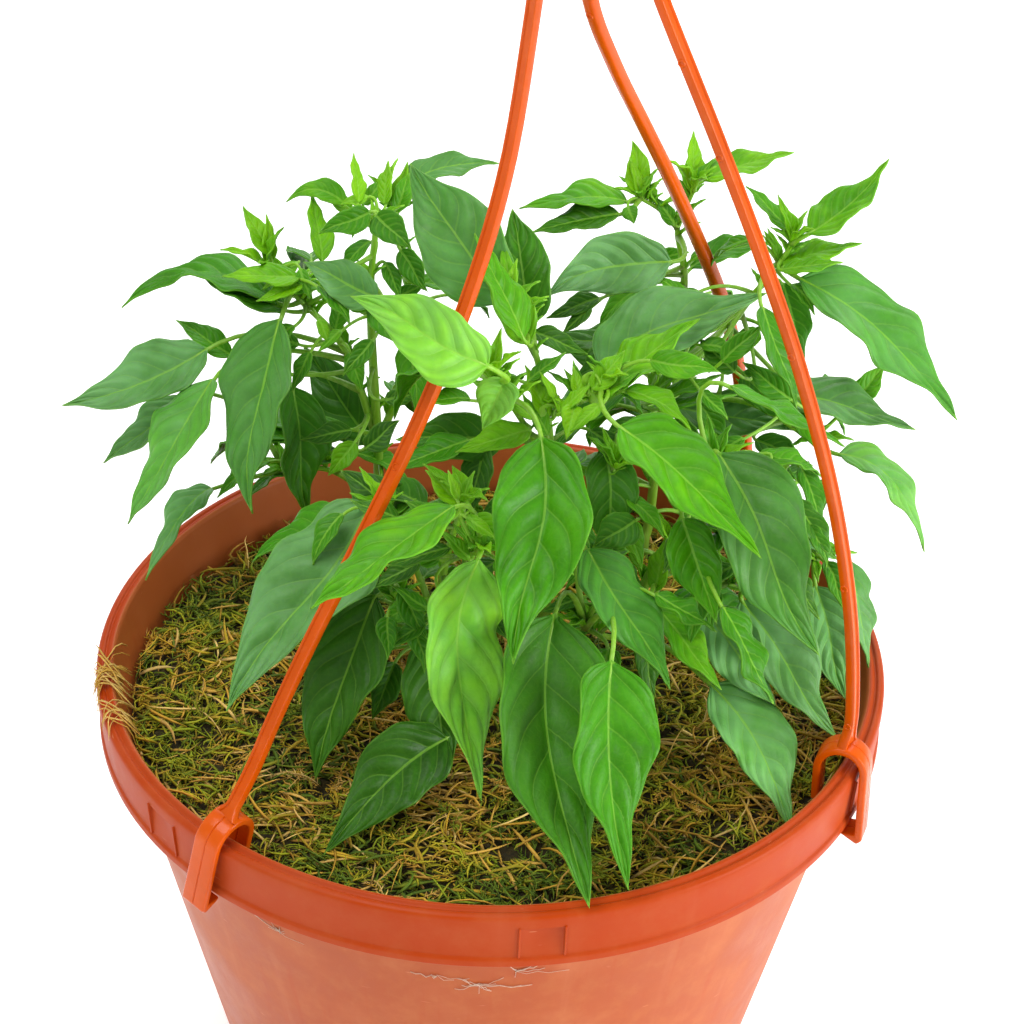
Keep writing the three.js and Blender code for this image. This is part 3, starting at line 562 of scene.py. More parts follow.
@dataclass(frozen=True)
class WeatheredPot:
    """The pot's plastic: a cleaner rim band, a dusty scratched wall and a stained inside."""

    pot: "Pot"
    band: Triple = (176, 60, 2)
    wall: Triple = (176, 82, 36)
    inner: Triple = (180, 92, 44)
    dust: Triple = (214, 138, 98)
    faded: Triple = (190, 108, 54)
    dirt: Triple = (92, 56, 34)

    def material(self) -> Material:
        """Makes the material."""
        recipe = Recipe("pot_plastic")
        x, y, z = recipe.node("SeparateXYZ", {0: recipe.place()}).outputs
        radius = recipe.maths("SQRT", recipe.plus(recipe.times(x, x), recipe.times(y, y)))
        round_wall = recipe.times(recipe.maths("ARCTAN2", y, x), self.pot.rim)
        wrapped = recipe.joined(round_wall, recipe.times(z, 0.08))
        crossed = recipe.joined(recipe.times(round_wall, 0.16), z, radius)
        band_foot = self.pot.height - self.pot.band - 0.6
        at_band = (z, band_foot - 0.3, band_foot + 0.3)
        colour = recipe.tint(linear(self.wall), self.band, recipe.step(*at_band))
        inner_limit = recipe.plus(recipe.times(z, self.pot.taper), self.pot.inside(0) + 0.9)
        inward = recipe.step(recipe.minus(inner_limit, radius), -0.2, 0.2)
        colour = recipe.tint(colour, self.inner, inward)
        on_wall = recipe.step(*at_band, (1, 0.3))
        clouds = recipe.noise(30, 5, roughness=0.6)
        runs, stains = recipe.noise(9, 3, wrapped), recipe.noise(5, 3, wrapped)
        mottle = recipe.noise(9, 4, roughness=0.65)
        for pattern, low, high, most, tint in (
                (runs, 0.55, 0.8, 0.2, self.dust), (mottle, 0.42, 0.7, 0.34, self.faded),
                (stains, 0.58, 0.74, 0.3, self.band), (clouds, 0.4, 0.75, 0.3, self.dust)):
            colour = recipe.tint(colour, tint, recipe.step(pattern, low, high, (0, most)), on_wall)
        scratch = recipe.step(recipe.noise(1.4, 2, crossed, 0.4), 0.74, 0.8, (0, 0.5))
        specks = recipe.step(recipe.noise(2.6, 4, roughness=0.75), 0.73, 0.8, (0, 0.7))
        colour = recipe.tint(recipe.tint(colour, self.dust, scratch), self.dirt, specks)
        roughness = recipe.step(clouds, 0.3, 0.7, (0.34, 0.52))
        height = recipe.plus(recipe.noise(0.4, 2), recipe.times(scratch, -0.5))
        normal = recipe.bump(height, 0.06, 0.4)
        return recipe.done(colour, roughness, normal, Subsurface_Weight=0.05,
                           Subsurface_Scale=2 * MM, Subsurface_Radius=PLASTIC_GLOW,
                           Specular_IOR_Level=0.14)


@dataclass(frozen=True)
class CrumblySoil:
    """Damp potting soil: dark crumbs with a few paler bits."""

    name: str = "soil_crumbs"
    dark: Triple = (22, 15, 11)
    middle: Triple = (44, 31, 22)
    pale: Triple = (84, 62, 42)

    def material(self) -> Material:
        """Makes the material."""
        recipe = Recipe(self.name)
        lumps = recipe.noise(2.6, 5, roughness=0.7)
        colour = recipe.ramp(lumps, ((0.3, self.dark), (0.55, self.middle), (0.75, self.pale)))
        height = recipe.plus(lumps, recipe.times(recipe.noise(0.7, 3), 0.4))
        return recipe.done(colour, 0.92, recipe.bump(height, 1.2, 0.8))


@dataclass(frozen=True)
class DryFibre:
    """Moss and straw fibres. The mesh carries kind, place along and shade as fibre."""

    kinds: Stops = (
        (0.0, (84, 110, 8)), (0.25, (136, 150, 10)), (0.5, (176, 164, 24)),
        (0.7, (190, 146, 36)), (0.85, (210, 164, 66)), (1.0, (232, 200, 118)))

    def material(self) -> Material:
        """Makes the material."""
        recipe = Recipe("mulch_fibre")
        kind, along, shade = recipe.marks("fibre")
        streaks = recipe.noise(0.8, 3, recipe.place((1, 1, 0.4)))
        varied = recipe.maths("ADD", kind, recipe.around(streaks, 0.3), clamp=True)
        dark = recipe.times(recipe.step(along, 0.0, 0.35, (0.45, 1.0)), shade)
        grey = recipe.node("CombineColor", {0: dark, 1: dark, 2: dark}).outputs[0]
        colour = recipe.mixed(1.0, recipe.ramp(varied, self.kinds), grey, "MULTIPLY")
        return recipe.done(colour, 0.75, recipe.bump(streaks, 0.2, 0.5))


@dataclass(frozen=True)
class LeafFinish:
    """A living blade: pale veins, domed panels between them with painted shade beside the side
    veins, and a thin light edge.

    The mesh carries blade (across from -1 to 1, along from 0 to 1, half width in millimetres),
    leaf (tone from 0 old to 1 young, length in millimetres, and a number of its own) and the
    strength of the painted sheen (how strong the pale layer is that is painted over an old leaf
    to stand for the sky's reflection).
    """

    pairs: float = 6.5
    slant: float = 0.2
    sweep: float = 0.17
    tones: Stops = (
        (0.0, (46, 96, 18)), (0.25, (58, 118, 14)), (0.5, (60, 136, 0)),
        (0.75, (82, 162, 0)), (1.0, (140, 210, 0)))
    grey_tones: Stops = ((0.0, (104, 152, 84)), (0.5, (122, 176, 66)), (1.0, (152, 206, 40)))
    vein: Triple = (144, 204, 66)
    # deep green: for random blotches, and for the painted shade in the creases beside the side
    # veins
    deep: Triple = (26, 74, 8)
    # painted sheen: the pale colour laid over older leaves to stand for the sky's reflection
    pale: Triple = (150, 210, 142)

    def doming(self, along: float, across: float, own: float) -> float:
        """How far the panel between two side veins stands up at a place, from 0 to 1.

        Args:
            along: share of the way from base to tip.
            across: place across, from -1 to 1.
            own: the leaf's own number.
        Returns:
            The share that it stands up.
        """
        reach = abs(across)
        side = 0.5 if across > 0 else 0.0
        phase = self.pairs * (along - self.slant * reach - self.sweep * reach**4) + side + own
        return sin(pi * phase) ** 2 * smooth(0, 0.25, reach) * (1 - smooth(0.55, 1, reach))

    def side_veins(self, recipe: Recipe, along: Socket, across: Socket, length: Socket,
                   own: Socket) -> Socket:
        """Distance in millimetres from the nearest side vein.

        Args:
            recipe: the material that is made.
            along: share of the way from base to tip.
            across: place across, from -1 to 1.
            length: the leaf's length.
            own: the leaf's own number.
        Returns:
            The distance.
        """
        reach = recipe.maths("ABSOLUTE", across)
        bend = recipe.plus(recipe.times(reach, self.slant),
                           recipe.times(recipe.maths("POWER", reach, 4.0), self.sweep))
        phase = recipe.plus(recipe.times(recipe.minus(along, bend), self.pairs),
                            recipe.times(recipe.maths("GREATER_THAN", across, 0.0), 0.5), own)
        whole_ahead = 10.0  # keeps the phase above 0
        share = recipe.maths("FRACT", recipe.plus(phase, whole_ahead))
        middle = recipe.maths("ABSOLUTE", recipe.minus(share, 0.5))
        return recipe.times(recipe.minus(0.5, middle), recipe.times(length, 0.75 / self.pairs))

    def material(self, under: bool) -> Material:
        """Makes the material of the upper or the under side.

        Args:
            under: whether it is the under side.
        Returns:
            The material.
        """
        recipe = Recipe("leaf_under" if under else "leaf_upper")
        across, along, half = recipe.marks("blade")
        tone, length, own = recipe.marks("leaf")
        # strength of the painted sheen, a painted reflection of the sky, for each leaf
        painted_sheen = recipe.marks("painted_sheen")[0]
        reach = recipe.maths("ABSOLUTE", across)
        off = self.side_veins(recipe, along, across, length, own)
        vein = recipe.times(recipe.step(off, 0.08, 0.5, (1, 0)),
                            recipe.step(reach, 0.5, 0.96, (1, 0.15)))
        rib_width = recipe.maths("MULTIPLY_ADD", along, -0.5, 0.75)
        from_rib = recipe.maths("DIVIDE", recipe.times(reach, half), rib_width)
        rib = recipe.step(from_rib, 0.45, 1.0, (1, 0))
        edge = recipe.step(recipe.times(recipe.minus(1.0, reach), half), 0.12, 0.5, (1, 0))
        cells = recipe.node("TexVoronoi", {"Vector": recipe.place(), "Scale": 0.42},
                            feature="DISTANCE_TO_EDGE").outputs["Distance"]
        net = recipe.step(cells, 0.02, 0.16, (1, 0))
        clouds = recipe.noise(16, 4, roughness=0.6)
        toned = recipe.maths("ADD", tone, recipe.around(clouds, 0.5), clamp=True)
        colour = recipe.ramp(toned, self.grey_tones if under else self.tones)
        blotches = recipe.step(recipe.noise(6, 3, roughness=0.6), 0.5, 0.7, (0, 0.3))
        # painted shade: darker in the creases beside the side veins, laid on with the random dark
        # blotches
        beside = recipe.step(off, 0.3, 2.4, (0.34, 0))
        colour = recipe.mixed(recipe.maths("MAXIMUM", blotches, beside), colour,
                              recipe.tint(colour, self.deep, 0.62))
        # painted sheen: a patchy pale layer standing for the sky's reflection, scaled by the leaf's
        # sheen strength
        painted_sheen_share = recipe.step(recipe.noise(14, 3), 0.3, 0.65, (0.18, 0.42))
        colour = recipe.tint(colour, self.pale, painted_sheen_share, painted_sheen)
        for pattern, strength in ((net, 0.03), (vein, 0.17), (rib, 0.5), (edge, 0.2)):
            colour = recipe.tint(colour, self.vein, pattern, strength)
        sunk = 1.0 if under else -1.0
        height = recipe.plus(
            recipe.times(recipe.maths("MAXIMUM", vein, rib), 0.9 * sunk),
            recipe.times(recipe.step(off, 0.0, 2.8), -1.8 * sunk),
            recipe.times(net, 0.18 * sunk), recipe.times(recipe.noise(1.6, 3), 0.5))
        roughness = recipe.step(clouds, 0.3, 0.7, (0.62, 0.72) if under else (0.4, 0.54))
        return recipe.done(colour, roughness, recipe.bump(height, 0.25, 0.5),
                           Subsurface_Weight=0.22, Subsurface_Scale=0.8 * MM,
                           Subsurface_Radius=(0.5, 1.0, 0.1), Specular_IOR_Level=0.22)


@dataclass(frozen=True)
class StemFinish:
    """Green stems and stalks. The mesh carries age and closeness to a joint as stem."""

    young: Triple = (132, 194, 30)
    old: Triple = (96, 128, 44)
    joint: Triple = (74, 62, 58)
    streak: Triple = (168, 204, 96)

    def material(self) -> Material:
        """Makes the material."""
        recipe = Recipe("stem")
        age, joint, _ = recipe.marks("stem")
        streaks = recipe.noise(1.2, 3, recipe.place((1, 1, 0.12)))
        colour = recipe.tint(linear(self.young), self.old, age)
        colour = recipe.tint(colour, self.streak, recipe.step(streaks, 0.4, 0.7, (0, 0.35)))
        colour = recipe.tint(colour, self.joint, joint, 0.7)
        return recipe.done(colour, 0.45, recipe.bump(streaks, 0.15, 0.5), Subsurface_Weight=0.12,
                           Subsurface_Scale=1 * MM, Subsurface_Radius=(0.5, 1.0, 0.2))


# ---------- pot ----------


@dataclass
class Pot:
    """The round moulded pot, with its rim band and the clip seats round it."""

    height: float = 165
    rim: float = 125
    base: float = 81.6
    taper: float = 0.242
    wall: float = 2.2
    floor: float = 2.6
    band: float = 20.5
    skirt: float = 2.0
    bead: float = 0.7
    foot_ring: float = 9.0
    seats: int = 6
    first_seat: float = -82
    seat_width: float = 13
    seat_depth: float = 0.5
    turns: int = 180
    # caught threads: angle, height of their lower ends and how many
    webs: tuple[Triple, ...] = ((-90.5, 127, 12), (-85, 134, 9), (-97, 130, 5), (-123, 131, 12))

    def outside(self, height: float) -> float:
        """The wall's outer radius at a height."""
        return self.base + self.taper * height

    def inside(self, height: float) -> float:
        """The wall's inner radius at a height."""
        return self.outside(height) - self.wall

    def corners(self) -> list[tuple[float, float, float]]:
        """Radius, height and rounding of each corner of the pot's section, from its underside."""
        foot, roof = self.height - self.band, self.height - 5
        skirt = self.rim - 1.3
        ring = self.base - self.foot_ring
        top, rim = self.height, self.rim
        return [
            (0, 0.7, 0), (ring - 0.8, 0.7, 0.4), (ring, 0, 0.4), (self.base - 1.3, 0, 1.2),
            (self.outside(1.6), 1.6, 1.2), (self.outside(roof), roof, 0.8),
            (rim - 2.8, roof, 0.6), (skirt - self.skirt + 0.2, foot, 0.4),
            (skirt + self.bead, foot, 0.5), (skirt + self.bead + 0.1, foot + 2.6, 0.6),
            (skirt, foot + 3.4, 0.4), (rim - 0.1, top - 4.2, 2.0), (rim - 0.1, top - 1.2, 1.2),
            (rim - 2.1, top - 0.3, 0.8), (rim - 2.9, top - 1.1, 0.5), (rim - 3.6, top - 0.5, 0.3),
            (rim - 4.1, top, 0.35), (rim - 5.1, top, 0.35), (rim - 5.8, top - 0.9, 0.6),
            (self.inside(roof), roof, 1.0), (self.inside(self.floor + 2.4), self.floor + 2.4, 2.0),
            (self.inside(self.floor) - 2.6, self.floor, 1.6), (0, self.floor, 0),
        ]

    def outline(self) -> list[Vector]:
        """The section, with each corner cut back and turned into a short curve."""
        corners = self.corners()
        line = []
        for k, (radius, height, rounding) in enumerate(corners):
            corner = Vector((radius, 0, height))
            if rounding == 0:
                line.append(corner)
                continue
            ends = []
            for other in (corners[k - 1], corners[k + 1]):
                away = Vector((other[0], 0, other[1])) - corner
                ends.append(corner + unit(away) * min(rounding, 0.45 * away.length))
            for share in (0, 0.25, 0.5, 0.75, 1):
                line.append(ends[0] * (1 - share) ** 2 + corner * (2 * share * (1 - share))
                            + ends[1] * share**2)
        return line

    def build(self) -> Item:
        """Turns the section about the pot's axis and cuts the clip seats."""
        line = self.outline()
        pot = mesh_object("pot_moulding", line, edges=[(k, k + 1) for k in range(len(line) - 1)])
        edit(
            pot,
            lambda: bpy.ops.mesh.spin(steps=self.turns, angle=2 * pi, center=(0, 0, 0),
                                      axis=(0, 0, 1)),
            lambda: bpy.ops.mesh.select_all(action="SELECT"),
            lambda: bpy.ops.mesh.remove_doubles(threshold=0.01 * MM),
            lambda: bpy.ops.mesh.normals_make_consistent(inside=False),
        )
        self.cut_seats(pot)
        pot = join("pot_moulding", [self.seat_ribs(), pot])
        shade(pot, 40)
        return pot

    def block(self, name: str, place: Triple, size: Triple, tilt: float, edge: float,
              seat: int) -> Item:
        """Makes a block with broken edges at a clip seat.

        Args:
            name: its name.
            place: its middle, before it is carried round to the seat.
            size: its size.
            tilt: how far its top leans outwards, in degrees.
            edge: width of its broken edges.
            seat: number of the seat.
        Returns:
            The block.
        """
        bpy.ops.mesh.primitive_cube_add(size=1, location=metres(*place),
                                        rotation=(0, radians(tilt), 0), scale=metres(*size))
        block = taken(name)
        settle(block)
        break_edges(block, edge, 2)
        block.rotation_euler.z = radians(self.first_seat + 360 / self.seats * seat)
        settle(block)
        return block

    def seat_ribs(self) -> Item:
        """The fine ribs that stand beside each seat, two at each."""
        tall = self.band - 8.5
        middle = self.height - 5 - tall / 2
        aside = self.seat_width / 2 + 0.35
        return join("seat_ribs", [
            self.block(f"seat_rib_{k}", (self.rim - 1.0, aside if k % 2 else -aside, middle),
                       (1.5, 0.6, tall), 5, 0.15, k // 2)
            for k in range(self.seats * 2)])

    def cut_seats(self, pot: Item) -> None:
        """Cuts the shallow seats that the hanger's clips could be pushed on at.

        Args:
            pot: the turned pot.
        """
        tall = self.band - 9
        middle = self.height - 5.4 - tall / 2
        face = self.rim - 0.9 - self.seat_depth
        cutters = join("seat_cutters", [
            self.block(f"seat_cutter_{k}", (face + 2, 0, middle), (4, self.seat_width, tall), 0,
                       0.35, k)
            for k in range(self.seats)])
        apply_modifier(pot, "BOOLEAN", operation="DIFFERENCE", solver="EXACT", object=cutters)
        bpy.data.objects.remove(cutters)

    def build_threads(self) -> Item:
        """A few dusty threads that are caught under the band."""
        draws = random.Random(5)
        draft = Draft()
        last = 5
        for angle, height, count in self.webs:
            for _ in range(count):
                way, fall = angle + draws.gauss(0, 3.2), height + draws.gauss(0, 2.4)
                line = []
                for k in range(last + 1):
                    share = k / last
                    sag = 4 * share * (1 - share) * draws.uniform(0, 1.2)
                    z = between((height + draws.uniform(-0.8, 0.8), fall), share) - sag
                    line.append(polar(self.outside(z) + 0.35, between((angle, way), share), z))
                radii = [draws.uniform(0.05, 0.13)] * len(line)
                draft.tube(line, radii, 4, [(1, 1, 1)] * len(line))
        return draft.made("caught_threads", "fibre")

    def dress(self, pot: Item) -> None:
        """Gives the pot its plastic, and hangs the caught threads on it."""
        thread = MouldedPlastic("dusty_thread", (232, 206, 184), (168, 130, 96), (0.7, 0.9), 0.5)
        hand_over(self.build_threads(), Slot.POT, [thread.material()], "pot")
        hand_over(pot, Slot.POT, [WeatheredPot(self).material()], "pot")


# ---------- hanger ----------


class ArmSide(Enum):
    """The side of an arm that a mark is on: across it and out of it."""

    OUTER = (0, 1)
    INNER = (0, -1)
    LEFT = (1, 0)


@dataclass(frozen=True)
class Arm:
    """One arm: the angle of its clip, its line and the round pin marks on it.

    The line is given as distance from the clip towards the hub, and height. The clip sits loosely:
    its outer leg stands off the skirt by play, its feet have swung along the rim (lean) and
    outwards (tip), and it has turned about its upright (turn).
    """

    clip_angle: float
    line: tuple[Pair, ...]
    play: float
    lean: float
    tip: float
    turn: float
    marks: tuple[float, ...] = ()
    marked: ArmSide = ArmSide.OUTER


@dataclass
class Hanger:
    """The moulded hanger: three channelled arms, their clips, a hub and a hook."""

    pot: Pot
    arms: tuple[Arm, ...] = (
        Arm(-130, ((3.8, 172.4), (8, 177), (15.5, 187), (24, 201), (38.5, 222), (53.5, 242),
                   (80, 279), (100.5, 316), (114.5, 354), (123, 400), (127, 430), (133, 458)),
            0.3, 10.5, 4, 0, (0.52, 0.86)),
        Arm(-25, ((3.6, 172.4), (2.8, 188), (6.3, 222), (14.8, 260), (28.2, 299), (42.5, 332),
                  (58.5, 365), (79, 405), (91.5, 432), (106, 459)),
            0.8, 3, 1, 8, (0.08, 0.25, 0.46, 0.66, 0.73, 0.9), ArmSide.LEFT),
        Arm(46, ((3.8, 172.4), (6, 190), (11.5, 218), (20, 244), (31.5, 269), (55.5, 312),
                 (72.3, 340), (88, 366), (101.5, 393), (106.5, 420), (109, 457)),
            0.6, 8, 3, 0, (0.78,), ArmSide.INNER),
    )
    clip_radius: float = 124
    clip_width: float = 9
    clip_thick: float = 2.4
    clip_arch: float = 12.2
    clip_inner_leg: float = 12
    clip_drop: float = 28.7
    clip_groove: float = 0.3
    catch_reach: float = 5
    catch_height: float = 3.4
    arm_width: float = 4.3
    arm_thick: float = 3.4
    foot_width: float = 8.6
    channel_depth: float = 0.55
    channel_edge: float = 0.95
    hub: Triple = (18, 1, 462)
    hub_radius: float = 11
    hub_height: float = 9
    hook_wire: float = 5
    hook_radius: float = 13
    hook_shank: float = 12
    mark_radius: float = 0.95
    mark_ridge: float = 0.34
    steps: int = 56

    def inward(self, arm: Arm) -> Vector:
        """The level direction from an arm's clip to the hub."""
        return unit(Vector((self.hub[0], self.hub[1], 0)) - polar(self.clip_radius, arm.clip_angle))

    def middle_line(self, arm: Arm) -> list[Vector]:
        """The arm's middle line as points of a smooth curve."""
        clip, inward = polar(self.clip_radius, arm.clip_angle), self.inward(arm)
        points = [clip + inward * reach + Vector((0, 0, height)) for reach, height in arm.line]
        return [spline(points, k / self.steps) for k in range(self.steps + 1)]

    def section(self, width: float) -> list[Pair]:
        """Section of an arm: a bar with rounded edges and a channel along its outer side.

        Args:
            width: the bar's width.
        Returns:
            Corners as places across and out.
        """
        w, h = width / 2, self.arm_thick / 2
        deep, edge = self.channel_depth, self.channel_edge
        return [
            (-w, -h + 1.1), (-w + 0.3, -h + 0.4), (-w + 1.0, -h), (w - 1.0, -h),
            (w - 0.3, -h + 0.4), (w, -h + 1.1), (w, h - 0.6), (w - 0.2, h - 0.12),
            (w - 0.5, h), (w - edge, h - 0.1), (w - edge - 0.25, h - deep),
            (-w + edge + 0.25, h - deep), (-w + edge, h - 0.1), (-w + 0.5, h),
            (-w + 0.2, h - 0.12), (-w, h - 0.6),
        ]

    def axes(self, arm: Arm, line: Line, k: int) -> Axes:
        """Directions along an arm, across it and out of it at a point of its line."""
        along = unit(line[min(k + 1, len(line) - 1)] - line[max(k - 1, 0)])
        side = square_to(UP.cross(self.inward(arm)), along)
        return along, side, along.cross(side)

    def build_arm(self, arm: Arm) -> Item:
        """Sweeps an arm's section along its line.

        Args:
            arm: the arm.
        Returns:
            The bar, with closed ends.
        """
        line = self.middle_line(arm)
        points: list[Vector] = []
        flare_steps = 4
        for k, middle in enumerate(line):
            _, side, out = self.axes(arm, line, k)
            flare = max(0.0, 1 - k / flare_steps) ** 1.6
            corners = self.section(self.arm_width + (self.foot_width - self.arm_width) * flare)
            points += [middle + side * a + out * b for a, b in corners]
        return mesh_object("arm", points, tube_faces(len(line), len(corners)))

    def build_marks(self, arm: Arm) -> list[Item]:
        """The round marks that the mould's pins left on an arm.

        Args:
            arm: the arm.
        Returns:
            One small ring for each mark.
        """
        line = self.middle_line(arm)
        made = []
        for share in arm.marks:
            k = round(share * self.steps)
            _, side, out = self.axes(arm, line, k)
            a, b = arm.marked.value
            face = side * a + out * b
            lift = self.arm_width / 2 if a else self.arm_thick / 2
            if arm.marked is ArmSide.OUTER:
                lift -= self.channel_depth
            turn = face.to_track_quat("Z", "Y").to_euler()
            bpy.ops.mesh.primitive_torus_add(
                location=(line[k] + face * lift) * MM, rotation=turn,
                major_segments=20, minor_segments=6, major_radius=self.mark_radius * MM,
                minor_radius=self.mark_ridge * MM)
            made.append(taken("pin_mark"))
            settle(made[-1])
        return made

    def crown(self) -> float:
        """The height that a clip swings about: the inside of its arch."""
        return self.pot.height + self.clip_arch / 2

    def clip_section(self, play: float) -> list[Vector]:
        """Outline of a clip, seen along the rim: an arch, a short inner leg and a long outer one.

        Args:
            play: how far the outer leg stands off the skirt.
        Returns:
            The corners, in the upright plane through the pot's axis.
        """
        outer = self.pot.rim + GAP + play
        inner = outer - self.clip_arch
        half, thick, turns = self.clip_arch / 2, self.clip_thick, 20
        middle = Vector((outer - half, 0, self.pot.height))
        catch_top = self.crown() - self.clip_drop
        catch_foot = catch_top - self.catch_height
        leg_foot = self.pot.height - self.clip_inner_leg
        catch = ((outer, catch_top), (outer - self.catch_reach, catch_top),
                 (outer + 0.8, catch_foot), (outer + thick, catch_foot + 1.4))
        foot = ((inner - thick, leg_foot), (inner, leg_foot))
        return [*(Vector((radius, 0, height)) for radius, height in catch),
                *arc(middle, half + thick, (0, 180), turns),
                *(Vector((radius, 0, height)) for radius, height in foot),
                *arc(middle, half, (180, 0), turns)]

    def build_clip(self, arm: Arm) -> Item:
        """Extrudes a clip's outline to its width and breaks its edges.

        Args:
            arm: the arm whose clip it is.
        Returns:
            The clip, where it stands on the rim.
        """
        outline = self.clip_section(arm.play)
        back = [point + Vector((0, self.clip_width / 2, 0)) for point in outline]
        clip = mesh_object("clip", back, [tuple(range(len(outline)))])
        edit(
            clip,
            lambda: bpy.ops.mesh.extrude_region_move(TRANSFORM_OT_translate={
                "value": (0, -self.clip_width * MM, 0)}),
            lambda: bpy.ops.mesh.select_all(action="SELECT"),
            lambda: bpy.ops.mesh.normals_make_consistent(inside=False),
        )
        break_edges(clip, 0.65, 3)
        self.cut_groove(clip)
        middle = self.pot.rim + GAP + arm.play - self.clip_arch / 2
        crown = Matrix.Translation((middle * MM, 0, self.crown() * MM))
        tip = Matrix.Rotation(radians(-arm.tip), 4, "Y")
        lean = Matrix.Rotation(radians(-arm.lean), 4, "X")
        turn = Matrix.Rotation(radians(arm.turn), 4, "Z")
        place = Matrix.Rotation(radians(arm.clip_angle), 4, "Z")
        clip.matrix_world = place @ crown @ turn @ lean @ tip @ crown.inverted()
        settle(clip)
        return clip

    def cut_groove(self, clip: Item) -> None:
        """Presses the mould's fine parting groove into a clip, along its middle.

        Args:
            clip: the clip, before it is put in its place.
        """
        edit(
            clip,
            lambda: bpy.ops.mesh.bisect(plane_co=(0, 0, 0), plane_no=(0, 1, 0)),
            lambda: bpy.ops.mesh.bevel(offset=self.clip_groove * MM, segments=2, affect="EDGES"),
            lambda: bpy.ops.mesh.select_all(action="DESELECT"),
        )
        for vertex in clip.data.vertices:
            if abs(vertex.co.y) < 1e-6:
                vertex.co -= vertex.normal * (self.clip_groove * MM)

    def build_hub(self) -> Item:
        """The hub that the arms run into, with broken edges."""
        bpy.ops.mesh.primitive_cylinder_add(
            vertices=48, radius=self.hub_radius * MM, depth=self.hub_height * MM,
            location=Vector(self.hub) * MM)
        hub = taken("hub")
        settle(hub)
        break_edges(hub, 1.1, 3)
        return hub

    def build_hook(self) -> Item:
        """The open hook over the hub."""
        hub = Vector(self.hub)
        top = self.hub_height / 2
        eye = hub + Vector((0, 0, top + self.hook_shank + self.hook_radius))
        line = [hub, hub + Vector((0, 0, top + self.hook_shank * 0.4))]
        line += arc(eye, self.hook_radius, (-90, 150), 32)
        radius = self.hook_wire / 2
        radii = [radius] * (len(line) - 2) + [radius - 0.3, radius - 1.2]
        draft = Draft()
        draft.tube(line, radii, 20, [(0, 0, 0)] * len(line), across=Vector((0, 1, 0)))
        return mesh_object("hook", draft.points, draft.faces)

    def build(self) -> Item:
        """Makes the parts of the hanger and joins them."""
        parts = [self.build_hub(), self.build_hook()]
        for arm in self.arms:
            parts += [self.build_clip(arm), self.build_arm(arm), *self.build_marks(arm)]
        hanger = join("hanger_moulding", parts)
        shade(hanger, 38)
        return hanger

    def dress(self, hanger: Item) -> None:
        """Gives the hanger its plastic."""
        finish = MouldedPlastic("hanger_plastic", (216, 86, 2), (238, 154, 100), (0.16, 0.3), 0.12)
        hand_over(hanger, Slot.HANGER, [finish.material()], "hanger")


# ---------- soil and mulch ----------


